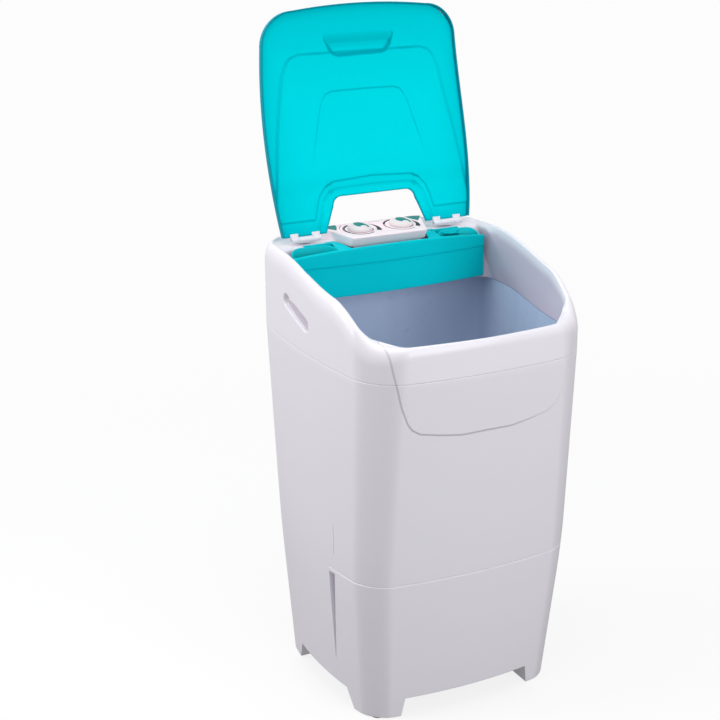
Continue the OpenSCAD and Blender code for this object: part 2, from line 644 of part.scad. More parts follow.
module bearing_housing() color([0.62, 0.63, 0.65]) translate([0, drive_y, 0]) difference() {
    union() {
        translate([0, 0, housing_low]) cylinder(r = bush_r + 6, h = housing_flange_z - housing_low + 1,
            $fn = 64);
        translate([0, 0, housing_flange_z]) cylinder(r = housing_pcd / 2 + 10, h = 5, $fn = 64);
        translate([0, 0, housing_flange_z]) cylinder(r = neck_r, h = housing_top - housing_flange_z,
            $fn = 64);
        intersection() {
            translate([0, 0, housing_flange_z - 40])
                cylinder(r1 = bush_r + 4, r2 = housing_pcd / 2 - 8, h = 40, $fn = 64);
            for (a = [0:2]) rotate([0, 0, 60 * a + 30]) translate([-100, -2.5, housing_flange_z - 50])
                cube([200, 5, 51]);
        }
    }
    translate([0, 0, housing_low - 1]) cylinder(r = shaft_r + 2, h = 300, $fn = 48);
    translate([0, 0, housing_low - 1]) cylinder(r = bush_r, h = bush_l + 3, $fn = 48);
    translate([0, 0, housing_top - seal_h - 2 - bush_l]) cylinder(r = bush_r, h = bush_l, $fn = 48);
    translate([0, 0, housing_top - seal_h]) cylinder(r = seal_r, h = 20, $fn = 48);
    for (a = [0:housing_screw_n - 1]) rotate([0, 0, 360 * a / housing_screw_n])
        translate([housing_pcd / 2, 0, housing_flange_z - 60]) cylinder(r = 2.8, h = 80, $fn = 24);
}
module housing_screws() color("silver")
    for (a = [0:housing_screw_n - 1]) translate([0, drive_y, housing_flange_z - gap])
        rotate([0, 0, 360 * a / housing_screw_n]) translate([housing_pcd / 2, 0, 0]) screw_up(5, 14, 10, 4);

// Belt drive
belt_h = 8;
belt_t = 6;
belt_slope = 1.5;
big_r = pulley_big_d / 2;
small_r = pulley_small_d / 2;
centre_l = motor_y - drive_y;
lean = asin((big_r - small_r) / centre_l);
function groove_section(r) = [[r - belt_t / 2 - 1, belt_slope - belt_h / 2 - gap - 0.2],
    [r + belt_t / 2 + 4, -belt_h / 2 - gap - 1.2], [r + belt_t / 2 + 4, belt_h / 2 + gap + 1.2],
    [r - belt_t / 2 - 1, belt_h / 2 - belt_slope + gap + 0.2]];
module pulley(r, hub, h, bore) {
    difference() {
        union() {
            rotate_extrude($fn = 96) difference() {
                translate([r - 12, -belt_h]) square([12 + belt_t / 2 + 1.5, 2 * belt_h]);
                polygon(groove_section(r));
            }
            if (r > 60) translate([0, 0, -2]) cylinder(r = r - 11, h = 4, $fn = 96);
            else translate([0, 0, -belt_h]) cylinder(r = r - 11, h = 2 * belt_h, $fn = 48);
            translate([0, 0, -h / 2]) cylinder(r = hub, h = h, $fn = 48);
        }
        translate([0, 0, -h]) cylinder(r = bore, h = 2 * h, $fn = 48);
        if (r > 60) for (a = [0:4]) rotate([0, 0, 72 * a]) translate([(r - 12 + hub) / 2 + 2, 0, -5])
            cylinder(r = (r - 12 - hub) / 2 - 12, h = 10, $fn = 48);
    }
}
module driven_pulley() color([0.15, 0.15, 0.16]) translate([0, drive_y, belt_z]) difference() {
    pulley(big_r, 20, 24, 5 + fit);
    translate([0, 0, shoulder_z - belt_z - fit]) cylinder(r = shaft_r + fit, h = 30, $fn = 48);
}
module pulley_nut() color("silver") translate([0, drive_y, shaft_low + 2]) difference() {
    hexagon(16, belt_z - 12 - gap - shaft_low - 2);
    translate([0, 0, -1]) cylinder(r = 5 + fit, h = 20, $fn = 48);
}
module motor_pulley() color([0.7, 0.7, 0.72]) translate([0, motor_y, belt_z])
    pulley(small_r, 10, 20, rotor_r + fit);
// Outline of the belt at a distance from its pitch line
function belt_ring(d, z) = concat(
    [for (i = [0:56]) let (a = 180 - lean + (180 + 2 * lean) * i / 56)
        [(big_r + d) * cos(a), drive_y + (big_r + d) * sin(a), z]],
    [for (i = [0:24]) let (a = lean + (180 - 2 * lean) * i / 24)
        [(small_r + d) * cos(a), motor_y + (small_r + d) * sin(a), z]]);
module v_belt() color([0.08, 0.08, 0.09]) wall_loop([
    belt_ring(belt_t / 2, belt_z - belt_h / 2),
    belt_ring(belt_t / 2, belt_z + belt_h / 2),
    belt_ring(-belt_t / 2, belt_z + belt_h / 2 - belt_slope),
    belt_ring(-belt_t / 2, belt_z - belt_h / 2 + belt_slope)]);

// Motor
rotor_r = 6;
motor_r = motor_d / 2;
bell_t = 12;
plate_z = pad_z - 8;
plate_t = 3;
motor_top = plate_z - plate_t - gap;
motor_h = 102;
motor_low = motor_top - motor_h;
casing_t = 2.5;
stator_r = motor_r - 14;
core_r = stator_r - 15;
motor_bolt_r = motor_r - 8;
module rotor() color("silver") translate([0, motor_y, 0]) {
    translate([0, 0, belt_z - 12]) cylinder(r = rotor_r, h = motor_top - 2 - belt_z + 12, $fn = 48);
    translate([0, 0, motor_low + 26]) cylinder(r = core_r - 0.6, h = motor_h - 52, $fn = 64);
}
module stator() color([0.70, 0.42, 0.20]) translate([0, motor_y, motor_low + 22]) difference() {
    cylinder(r = stator_r, h = motor_h - 44, $fn = 64);
    translate([0, 0, -1]) cylinder(r = core_r, h = motor_h, $fn = 64);
}
module motor_casing() color([0.30, 0.31, 0.33]) translate([0, motor_y, motor_low + bell_t + gap]) {
    h = motor_h - 2 * bell_t - 2 * gap;
    tube(motor_r, motor_r - casing_t, h);
    translate([0, 0, 12]) difference() {
        tube(motor_r - casing_t + 0.1, stator_r + gap, h - 24);
        for (a = [0:3]) rotate([0, 0, 90 * a + 45]) translate([motor_bolt_r, 0, -1])
            cylinder(r = 3.2, h = h, $fn = 24);
    }
}
module bell() {
    difference() {
        cylinder(r = motor_r, h = bell_t, $fn = 64);
        translate([0, 0, 4]) tube(motor_r - 12, 16, 20);
        translate([0, 0, -1]) cylinder(r = rotor_r + fit, h = 40, $fn = 48);
        for (a = [0:3]) rotate([0, 0, 90 * a + 45]) translate([motor_bolt_r, 0, -1])
            cylinder(r = 2.8, h = 40, $fn = 24);
    }
}
module motor_bottom_bell() color([0.66, 0.67, 0.69]) translate([0, motor_y, motor_low]) bell();
module motor_top_bell() color([0.66, 0.67, 0.69]) translate([0, motor_y, motor_top]) mirror([0, 0, 1]) bell();
module motor_bolts() color("silver") translate([0, motor_y, motor_low - gap])
    for (a = [0:3]) rotate([0, 0, 90 * a + 45]) translate([motor_bolt_r, 0, 0]) {
        screw_up(5, motor_h + plate_t + 2 * gap + 5, 9, 3.5);
        translate([0, 0, motor_h + plate_t + 3 * gap]) hexagon(8, 3.4);
    }
bracket_x = mount_x + 14;
cap_x = motor_r + capacitor_d / 2 + 24;
cap_h = 88;
module motor_bracket() color([0.75, 0.76, 0.78]) translate([0, 0, plate_z - plate_t]) difference() {
    linear_extrude(plate_t) polygon([[-bracket_x, mount_front - 14], [bracket_x, mount_front - 14],
        [bracket_x + 4, motor_y - 20], [cap_x + 12, motor_y - 12], [cap_x + 12, motor_y + 12],
        [bracket_x + 4, motor_y + 20], [bracket_x, mount_back + 14], [40, motor_y + motor_r + 2],
        [-40, motor_y + motor_r + 2], [-bracket_x, mount_back + 14]]);
    for (p = mount_places) translate([p.x, p.y, -1]) cylinder(r = bolt_r + gap, h = 10, $fn = 24);
    translate([0, motor_y, -1]) cylinder(r = 18, h = 10, $fn = 48);
    for (a = [0:3]) translate([0, motor_y, -1]) rotate([0, 0, 90 * a + 45]) translate([motor_bolt_r, 0, 0])
        cylinder(r = 2.8, h = 10, $fn = 24);
    translate([cap_x, motor_y, -1]) cylinder(r = 4.3, h = 10, $fn = 24);
}
module rubber_mounts() color([0.12, 0.12, 0.13]) for (p = mount_places)
    translate([p.x, p.y, plate_z + gap]) tube(11, bolt_r + gap, pad_z - plate_z - 2 * gap);
module bracket_bolts() color("silver") for (p = mount_places)
    translate([p.x, p.y, plate_z - plate_t - gap]) screw_up(2 * bolt_r, 18, 11, 4);
module capacitor() color([0.55, 0.56, 0.60]) translate([cap_x, motor_y, plate_z - plate_t - gap - cap_h]) {
    rotate_extrude($fn = 64) polygon([[0, 0], [capacitor_d / 2 - 1.5, 0], [capacitor_d / 2, 1.5],
        [capacitor_d / 2, cap_h - 1.5], [capacitor_d / 2 - 1.5, cap_h], [0, cap_h]]);
    cylinder(r = 4, h = cap_h + plate_t + 8, $fn = 32);
    for (x = [-6, 6]) translate([x - 3, -0.5, -8]) cube([6, 1, 8.1]);
}
module capacitor_nut() color("silver") translate([cap_x, motor_y, plate_z + gap]) difference() {
    hexagon(13, 5);
    translate([0, 0, -1]) cylinder(r = 4 + fit, h = 10, $fn = 32);
}

// Drain
hose_r = drain_r + 3.2;
bend_r = 40;
spigot_back = back_face(-drain_x, drain_z) + 1;
module drain_strainer() color([0.25, 0.27, 0.30]) translate([-drain_x, drain_y, tub_floor_z + gap])
    difference() {
    union() {
        rotate_extrude($fn = 48) polygon([[0, 0], [22, 0], [22, 0.8], [18, 2.6], [0, 3.4]]);
        translate([0, 0, -10]) cylinder(r = drain_r - 3 - gap, h = 10.5, $fn = 48);
    }
    translate([0, 0, -11]) cylinder(r = drain_r - 5, h = 11.8, $fn = 48);
    for (a = [0:5]) rotate([0, 0, 60 * a]) translate([3, -0.9, -1]) cube([8, 1.8, 6]);
}
hose_low = drain_z;
hose_top = under_z - drain_neck + 22;
module drain_hose() color([0.20, 0.21, 0.23]) translate([-drain_x, drain_y, 0]) {
    translate([0, 0, hose_low + bend_r]) tube(hose_r, drain_r + 0.2, hose_top - hose_low - bend_r);
    translate([0, bend_r, hose_low + bend_r]) rotate([0, 90, 0]) rotate([0, 0, -90])
        rotate_extrude(angle = 90, $fn = 64)
        translate([bend_r, 0]) difference() {
            circle(r = hose_r, $fn = 48);
            circle(r = drain_r + 0.2, $fn = 48);
        }
    translate([0, bend_r, hose_low]) rotate([-90, 0, 0])
        tube(hose_r, drain_r + 0.2, spigot_back - drain_y - bend_r - 16);
}
clamp_w = 9;
module hose_clamps() color("silver") {
    translate([-drain_x, drain_y, hose_top - 6 - clamp_w]) tube(hose_r + 1.6, hose_r + 0.05, clamp_w);
    translate([-drain_x, spigot_back - 26, drain_z]) rotate([-90, 0, 0])
        tube(hose_r + 1.6, hose_r + 0.05, clamp_w - 2);
}
module drain_spigot() color([0.20, 0.21, 0.23]) translate([-drain_x, spigot_back + 4, drain_z])
    rotate([-90, 0, 0]) difference() {
    union() {
        translate([0, 0, gap]) cylinder(r = flange_r, h = 3, $fn = 64);
        translate([0, 0, -17]) cylinder(r = drain_pipe_r, h = 20, $fn = 48);
        translate([0, 0, -32]) cylinder(r = drain_r - 0.1, h = 16, $fn = 48);
        cylinder(r = spigot_d / 2, h = spigot_l + 3 + gap, $fn = 48);
    }
    translate([0, 0, -33]) cylinder(r = spigot_d / 2 - 3, h = spigot_l + 60, $fn = 48);
}

// Water inlet and mains gland
inlet_back = back_face(inlet_x, inlet_z) + 2.6;
module inlet_spigot() color(white) translate([inlet_x, inlet_back, inlet_z]) rotate([-90, 0, 0])
    difference() {
    union() {
        translate([0, 0, gap]) cylinder(r = inlet_d / 2 + 4, h = 3, $fn = 64);
        translate([0, 0, -6]) cylinder(r = inlet_r, h = 8, $fn = 48);
        translate([0, 0, -16]) cylinder(r = inlet_bore_r - 0.3, h = 12, $fn = 48);
        cylinder(r = inlet_d / 2, h = inlet_l + 3 + gap, $fn = 48);
    }
    translate([0, 0, -20]) cylinder(r = inlet_bore_r - 2, h = 80, $fn = 48);
}
// Points of a path, each with the ring that the swept round has there
function path_rings(path, r, sides) = let (n = len(path),
        dirs = [for (i = [0:n - 1]) unit(path[min(n - 1, i + 1)] - path[max(0, i - 1)])])
    [for (i = [0:n - 1]) let (s = unit(cross(dirs[i], [1, 0.2, 0.1])), t = cross(dirs[i], s))
        [for (k = [0:sides - 1]) let (a = 360 * k / sides) path[i] + r * (cos(a) * t + sin(a) * s)]];
function turned_round(list) = [for (i = [len(list) - 1:-1:0]) list[i]];
hose_pass = [162.5, 239];
hose_path = [[inlet_x, inlet_back - 7, inlet_z], [inlet_x, inlet_back - 17, inlet_z], [150, 240, 629],
    [150, 237, 639],
    [151, 236, 660], [155, 237, 700], [162, 239, 736], [165, 239.5, 748], [176, 236, 790], [188, 226, 825],
    [194, 210, 851], [195, 195, 864], [outlet_x, 178, outlet_z], [outlet_x, 142, outlet_z]];
module inlet_hose() color([0.20, 0.21, 0.23])
    wall_loop(concat(turned_round(path_rings(hose_path, inlet_hose_r, 20)),
        path_rings(hose_path, inlet_bore_r, 20)));
gland_back = back_face(gland_x, hole_back_z) + 1;
module cord_gland() color([0.12, 0.12, 0.13]) translate([gland_x, gland_back + 4, hole_back_z])
    rotate([-90, 0, 0]) difference() {
    union() {
        translate([0, 0, gap]) cylinder(r = gland_r + 6, h = 3, $fn = 48);
        translate([0, 0, -18]) cylinder(r = gland_r, h = 20, $fn = 48);
        translate([0, 0, 3]) cylinder(r = gland_r - 2, h = 9, $fn = 48);
    }
    translate([0, 0, -30]) cylinder(r = gland_bore_d / 2, h = 60, $fn = 48);
}

// Hooks for the drain hose on the back of the collar
hook_x = 150;
hook_z = 560;
module hose_hook() color(white) both_sides() {
    face = back_face(hook_x, hook_z);
    translate([hook_x, face + gap + 1.3, hook_z]) rotate([-90, 0, 0]) difference() {
        union() {
            cylinder(r = 9, h = 4, $fn = 48);
            cylinder(r = 4.5, h = 16, $fn = 32);
            translate([0, 0, 14]) cylinder(r = 8, h = 3, $fn = 48);
        }
        translate([0, 0, -1]) cylinder(r = 1.6, h = 12, $fn = 24);
    }
}

// Lid, drawn in its own frame: u across, v away from the hinge, w outwards
pin_r = hinge_pin_d / 2;
knuckle_r = pin_r + 3.2;
lid_corner = 70;
lid_edge = 5.8;
skin_w = lid_flange - 7;
notch_x = 116;
notch_top = 78;
notch_r = 20;
notch_top_x = 96;
lid_steps = 20;
function lid_half(v, e) = lid_x - e + lid_swell * sin(180 * pow(max(0, v) / lid_l, 0.8));
function lid_end(u, e) = lid_l - e - 12 * pow(u / 177, 2);
function lid_sag(v) = lid_dome * sin(180 * pow(max(0, min(lid_l, v)) / lid_l, 1.6));
// Right half of the outline, from the hinge side to the middle of the free edge, moved inwards by e
function lid_right(e) = let (v1 = lid_l - 80, cu = lid_half(v1, 0) - lid_corner, cv = v1)
    concat([for (i = [0:8]) let (v = mix(lid_edge + e, v1, i / 8)) [lid_half(v, e), v]],
        [for (i = [1:6]) let (a = 15 * i) [cu + (lid_corner - e) * cos(a),
            cv + (lid_end(cu, 0) - cv - e) * sin(a)]],
        [for (i = [1:4]) let (u = cu * (1 - i / 4)) [u, lid_end(u, e)]]);
// Right half of the notch round the controls
function notch_right(e) = concat([[notch_x + e, -20], [notch_x + e, lid_edge + 4],
        [notch_top_x + 4 + e, notch_top - notch_r - 8]],
    [for (i = [0:6]) let (a = 15 * i) [notch_top_x - notch_r + (notch_r + e) * cos(a),
        notch_top - notch_r + (notch_r + e) * sin(a)]]);
function mirrored(points) = [for (i = [len(points) - 1:-1:0]) [-points[i].x, points[i].y]];
module lid_plate(e) {
    polygon(concat(lid_right(e), mirrored([for (i = [0:len(lid_right(e)) - 2]) lid_right(e)[i]])));
}
module lid_outline(e) {
    difference() {
        lid_plate(e);
        polygon(concat(notch_right(e), mirrored(notch_right(e))));
    }
}
// Domed layer between two levels over the lid's surface
module lid_layer(low, high) {
    vs = [for (i = [0:lid_steps]) mix(-6, lid_l + 4, i / lid_steps)];
    rotate([90, 0, 90]) translate([0, 0, -far]) linear_extrude(2 * far)
        polygon(concat([for (v = vs) [v, lid_sag(v) + low]],
            [for (i = [lid_steps:-1:0]) [vs[i], lid_sag(vs[i]) + high]]));
}
module lid_frame() {
    translate([0, hinge_y, hinge_z]) rotate([90 - lid_lean, 0, 0]) mirror([0, 0, 1]) children();
}
raised_right = [[105, 115], [132, 82], [141, 44], [208, 42], [210, 75], [201, 203], [177, 328], [163, 368]];
module raised_area() {
    polygon(concat(raised_right, mirrored(raised_right)));
}
knuckle_w = 18;
bracket_w = 30;
bracket_room_low = -6.4;
bracket_room_v = 9;
bracket_x_mid = (notch_x + lid_x) / 2;
knuckle_x = [bracket_x_mid - bracket_w / 2 - gap - knuckle_w, bracket_x_mid + bracket_w / 2 + gap];
module lid() color([teal.x, teal.y, teal.z, 0.75]) lid_frame() difference() {
    union() {
        intersection() {
            translate([0, 0, -far / 4]) linear_extrude(far / 2) difference() {
                lid_outline(0);
                raised_area();
            }
            lid_layer(skin_w, skin_w + lid_t);
        }
        intersection() {
            translate([0, 0, -far / 4]) linear_extrude(far / 2) raised_area();
            lid_layer(skin_w + 1.6, skin_w + lid_t + 1.6);
        }
        intersection() {
            translate([0, 0, -far / 4]) linear_extrude(far / 2) difference() {
                lid_outline(0);
                lid_plate(lid_t);
                translate([-notch_x - 12, -20]) square([2 * notch_x + 24, notch_top + 40]);
            }
            lid_layer(skin_w - lid_flange, skin_w + 0.5);
        }
        both_sides() for (x = knuckle_x) {
            translate([x, 0, 0]) rotate([0, 90, 0]) cylinder(r = knuckle_r, h = knuckle_w, $fn = 32);
            translate([x, 0, skin_w]) cube([knuckle_w, lid_edge + 6, lid_t]);
        }
    }
    both_sides() translate([knuckle_x[0] - 1, 0, 0]) rotate([0, 90, 0])
        cylinder(r = pin_r + fit, h = 2 * knuckle_w + bracket_w + 2, $fn = 32);
    // Room for the brackets at the hinge edge
    both_sides() translate([bracket_x_mid - bracket_w / 2 - gap, -30, bracket_room_low])
        cube([bracket_w + 2 * gap, 30 + bracket_room_v, 40]);
}
bracket_screw_x = [bracket_x_mid - 9, bracket_x_mid + 9];
bracket_screw_y = hinge_y + 20;
bracket_t = 3;
module lid_hinge_brackets() color(white) both_sides() difference() {
    union() {
        translate([bracket_x_mid - bracket_w / 2, hinge_y, hinge_z]) rotate([0, 90, 0])
            cylinder(r = knuckle_r - 0.4, h = bracket_w, $fn = 32);
        translate([bracket_x_mid - bracket_w / 2, hinge_y, deck_z + 3 + gap])
            cube([bracket_w, 6, hinge_z - deck_z - 3 - gap]);
        translate([bracket_x_mid - bracket_w / 2, hinge_y, deck_z + 3 + gap])
            cube([bracket_w, 30, bracket_t]);
    }
    translate([0, hinge_y, hinge_z]) rotate([0, 90, 0]) cylinder(r = pin_r + fit, h = far, $fn = 32);
    for (x = bracket_screw_x) translate([x, bracket_screw_y, 0]) cylinder(r = 1.9, h = far * 3, $fn = 24);
}
module lid_hinge_pins() color("silver") both_sides() translate([knuckle_x[0] + 2, hinge_y, hinge_z])
    rotate([0, 90, 0])
    cylinder(r = pin_r, h = 2 * knuckle_w + bracket_w - 4, $fn = 32);
module hinge_screws() color("silver") both_sides() for (x = bracket_screw_x)
    translate([x, bracket_screw_y, deck_z + 3 + bracket_t + 2 * gap]) rotate([180, 0, 0])
        screw_up(3.2, 12, 6.5, 2);

// Dispenser tray
tray_back = deck_y - 3;
pocket_in = notch_x + 2;
tray_steps = 16;
function tray_y(x) = tray_front + tray_bow * pow(x / tray_x, 2);
function tray_top_z(x) = tray_top - tray_drop * pow(abs(x) / tray_x, 2.4);
tray_band = 33;
// Front wall between two depths, with straight ends, over a range of heights
module tray_strip(from, to, low, high) {
    translate([0, 0, low]) linear_extrude(high - low) polygon(concat(
        [for (i = [0:tray_steps]) let (x = mix(-tray_x, tray_x, i / tray_steps)) [x, tray_y(x) + from]],
        [for (i = [tray_steps:-1:0]) let (x = mix(-tray_x, tray_x, i / tray_steps)) [x, tray_y(x) + to]]));
}
module under_top_edge() {
    translate([0, far, 0]) rotate([90, 0, 0]) linear_extrude(2 * far) polygon(concat(
        [[-tray_x - 1, tray_bottom - 1]], [[tray_x + 1, tray_bottom - 1]],
        [for (i = [tray_steps:-1:0]) let (x = mix(-tray_x - 1, tray_x + 1, i / tray_steps))
            [x, tray_top_z(x)]]));
}
function back_wall_y(z) = deck_y - (deck_y - mouth_back) * (deck_z - z) / (deck_z - mouth_z) - 2;
// Leans things back as the collar's rear wall does
module along_back_wall() {
    lean_back = (deck_y - mouth_back) / (deck_z - mouth_z);
    multmatrix([[1, 0, 0, 0], [0, 1, lean_back, -lean_back * deck_z], [0, 0, 1, 0]]) children();
}
pocket_r = 34;
pocket_x = tray_x - 6;
// One pocket's outline, moved inwards by e
module pocket_outline(e) {
    back = back_wall_y(deck_z) - e;
    polygon(concat([[pocket_in + e, 0], [pocket_x - e, 0]],
        [for (i = [0:6]) [pocket_x - pocket_r + (pocket_r - e) * cos(15 * i),
            back - pocket_r + e + (pocket_r - e) * sin(15 * i)]],
        [[pocket_in + e, back]]));
}
module pocket_side() {
    along_back_wall() translate([0, 0, pocket_z - tray_wall]) linear_extrude(deck_z - pocket_z + tray_wall)
        pocket_outline(0);
}
module pocket_room() {
    along_back_wall() translate([0, 0, pocket_z]) linear_extrude(deck_z - pocket_z + 9)
        pocket_outline(tray_wall);
}
module behind_front(d) {
    translate([0, 0, tray_bottom - 5]) linear_extrude(200) polygon(concat(
        [for (i = [0:tray_steps]) let (x = mix(-tray_x, tray_x, i / tray_steps)) [x, tray_y(x) + d]],
        [[tray_x, far], [-tray_x, far]]));
}
flap_x = 140;
flap_w = 34;
flap_pin_r = 1.5;
flap_y = back_wall_y(deck_z) - tray_wall - 6;
flap_z = deck_z - 8;
flap_tilt = 15;
flap_hub_r = 3.4;
flap_l = 28;
flap_t = 2;
divider_x = 192;
hook_l = 62;
hook_d = 7;
hook_h = 14;
module dispenser_tray() color(teal) difference() {
    union() {
        intersection() {
            union() {
                tray_strip(0.8, 0.8 + tray_wall, tray_bottom, tray_top + 2);
                tray_strip(0, 0.8 + tray_wall, tray_top - tray_band, tray_top + 2);
            }
            under_top_edge();
        }
        intersection() {
            both_sides() difference() {
                pocket_side();
                intersection() {
                    pocket_room();
                    behind_front(0.8 + tray_wall);
                }
            }
            behind_front(1);
            under_top_edge();
        }
        // Hooks over the deck's edge
        both_sides() translate([pocket_in, tray_back - 3, deck_z + gap + 0.4]) cube([hook_l, hook_d, 1.4]);
        both_sides() translate([pocket_in, tray_back - tray_wall - 1, deck_z - hook_h + 2])
            cube([hook_l, tray_wall - 0.6, hook_h]);
        // Bridge in front of the controls
        intersection() {
            translate([-pocket_in - 1, tray_front, tray_top - 14])
                cube([2 * pocket_in + 2, panel_front_y - gap - tray_front - 6, tray_wall]);
            behind_front(1);
        }
        // Divider and the ears of the flap
        intersection() {
            translate([divider_x - 14, 0, pocket_z - 1]) cube([tray_wall, back_wall_y(pocket_z) - 1, 38]);
            behind_front(1);
        }
        for (x = [flap_x - 4 - gap, flap_x + flap_w + gap]) translate([x, flap_y - 4, flap_z - 5])
            cube([4, 8.5, 10]);
    }
    translate([flap_x - 10, flap_y, flap_z]) rotate([0, 90, 0])
        cylinder(r = flap_pin_r + fit, h = flap_w + 20, $fn = 24);
    along_y(outlet_x, outlet_z, 100, 80, 2 * (inlet_hose_r + gap));
    // Outlets in the pocket floors
    for (x = [-205, -185, -165, -145, 165, 185, 205]) translate([x, 128, pocket_z - 10])
        cylinder(r = 3.5, h = 20, $fn = 24);
}
module softener_flap() color(teal) difference() {
    union() {
        translate([flap_x, flap_y, flap_z]) rotate([0, 90, 0]) cylinder(r = flap_hub_r, h = flap_w, $fn = 48);
        translate([flap_x + gap, flap_y, flap_z]) rotate([-flap_tilt, 0, 0])
            translate([0, -flap_l, -flap_t / 2]) cube([flap_w - 2 * gap, flap_l - flap_pin_r - 0.5, flap_t]);
    }
    translate([flap_x - 10, flap_y, flap_z]) rotate([0, 90, 0])
        cylinder(r = flap_pin_r + fit, h = flap_w + 20, $fn = 24);
}
module flap_pin() color("silver") translate([flap_x - 4, flap_y, flap_z]) rotate([0, 90, 0])
    cylinder(r = flap_pin_r, h = flap_w + 8, $fn = 24);

// Control panel, box, timer and switch
box_front = 132;
box_back = 204;
box_low = 884;
box_x = 80;
box_t = 2.2;
face_half = 48;
panel_front_y = 128;
panel_t = 2.4;
post_d = 12;
panel_base = deck_z + 1.2;
module panel_frame() {
    translate([0, panel_y, panel_z]) rotate([panel_tilt, 0, 0]) children();
}
module panel_post(d) {
    cylinder(d = d, h = 1, $fn = 32);
}
// The panel's solid shape, moved inwards by e and open below where e is more than 0
module panel_solid(e) {
    hull() {
        for (s = [-1, 1]) {
            translate([s * (panel_front_x - post_d / 2), panel_front_y + post_d / 2, panel_base - 5 - 3 * e])
                panel_post(post_d - 2 * e);
            translate([s * (panel_back_x - post_d / 2), panel_y + face_half - post_d / 2, panel_base - 3 * e])
                panel_post(post_d - 2 * e);
            panel_frame() {
                translate([s * (panel_front_x - post_d / 2), post_d / 2 - face_half, -1 - e])
                    panel_post(post_d - 2 * e);
                translate([s * (panel_back_x - post_d / 2), face_half - post_d / 2, -1 - e])
                    panel_post(post_d - 2 * e);
            }
        }
    }
}
module control_panel() color(white) difference() {
    panel_solid(0);
    panel_solid(panel_t);
    translate([-far, deck_y - 2, 0]) cube([2 * far, far, panel_base]);
    for (x = [-knob_x, knob_x]) panel_frame() translate([x, 0, -20])
        cylinder(r = knob_shaft_d / 2 + 1, h = 40, $fn = 32);
}
module control_box() color(white) difference() {
    translate([-box_x, box_front + gap, box_low])
        cube([2 * box_x, box_back - box_front - gap, panel_base - box_low - 1]);
    translate([-box_x + box_t, box_front + gap + box_t, box_low + box_t])
        cube([2 * (box_x - box_t), box_back - box_front - gap - 2 * box_t, 40]);
    translate([wire_end.x, wire_end.y, box_low - 1]) cylinder(r = wire_r + 1, h = 10, $fn = 32);
}
timer_w = 40;
timer_h = 20;
module switch_block(x, w) {
    panel_frame() translate([x, 0, -panel_t - 2.4 - timer_h]) difference() {
        union() {
            translate([-w / 2, -w / 2, 0]) cube([w, w, timer_h - 5]);
            cylinder(r = 8, h = timer_h, $fn = 48);
        }
        translate([0, 0, 8]) cylinder(r = knob_shaft_d / 2 + fit, h = 40, $fn = 32);
    }
}
module timer_body() color([0.85, 0.85, 0.80]) switch_block(-knob_x, timer_w);
module selector_switch() color([0.15, 0.15, 0.16]) switch_block(knob_x, timer_w - 6);
module knob_shaft(x) {
    panel_frame() translate([x, 0, -panel_t - 2.4 - timer_h + 9])
        cylinder(r = knob_shaft_d / 2, h = timer_h + 1, $fn = 32);
}
module timer_shaft() color("silver") knob_shaft(-knob_x);
module selector_shaft() color("silver") knob_shaft(knob_x);
knob_lift = 0.6;
module knob(x, turn) {
    panel_frame() translate([x, 0, knob_lift]) rotate([0, 0, turn]) difference() {
        union() {
            rotate_extrude($fn = 64) polygon([[0, 0], [knob_d / 2 - 1, 0], [knob_d / 2, 1], [knob_d / 2, 4],
                [knob_d / 2 - 2, 6], [knob_d / 2 - 8, knob_h - 3], [knob_d / 2 - 12, knob_h - 1.5],
                    [0, knob_h - 1]]);
            translate([0, 0, knob_h - 4]) linear_extrude(4) polygon(leaf(knob_d / 2 - 5, 10));
        }
        translate([0, 0, -1]) cylinder(r = knob_shaft_d / 2 + fit, h = 9, $fn = 32);
    }
}
// Leaf: wide and round at one end, narrow at the other
function leaf(l, w) = [for (i = [0:23]) let (a = 15 * i) [l * cos(a), w / 2 * sin(a) * (1 - 0.55 * cos(a))]];
module timer_knob() color(white) knob(-knob_x, -40);
module program_knob() color(white) knob(knob_x, -40);

// Lint filter on the rear wall of the tub
filter_back = tub_low_back + (tub_back - tub_low_back) * (filter_z - tub_low_z) / (mouth_z - tub_low_z) - gap;
module filter_guide() color(white) translate([filter_x - filter_w / 2, filter_back - filter_d, filter_z])
    difference() {
    cube([filter_w, filter_d, filter_h]);
    translate([4, -1, 4]) cube([filter_w - 8, filter_d - 3, filter_h]);
    translate([10, -1, 10]) cube([filter_w - 20, filter_d + 2, filter_h - 22]);
    translate([2, 3, 4]) cube([filter_w - 4, 4.4, filter_h]);
}
module lint_filter_frame() color(teal) translate([filter_x - filter_w / 2 + 2 + gap,
    filter_back - filter_d + 3 + gap, filter_z + 4 + gap])
    difference() {
        cube([filter_w - 4 - 2 * gap, 4.4 - 2 * gap, filter_h - 6]);
        translate([7, -1, 7]) cube([filter_w - 18 - 2 * gap, 10, filter_h - 20]);
    }
net_bars = 7;
module lint_filter_net() color([0.85, 0.88, 0.90]) {
    x0 = filter_x - filter_w / 2 + 2 + gap + 7;
    w = filter_w - 18 - 2 * gap;
    z0 = filter_z + 4 + gap + 7;
    h = filter_h - 20;
    y0 = filter_back - filter_d + 3 + gap + 1.4;
    for (i = [1:net_bars]) translate([x0 + w * i / (net_bars + 1) - 0.4, y0, z0]) cube([0.8, 0.8, h]);
    for (i = [1:net_bars + 4]) translate([x0, y0, z0 + h * i / (net_bars + 5) - 0.4]) cube([w, 0.8, 0.8]);
}

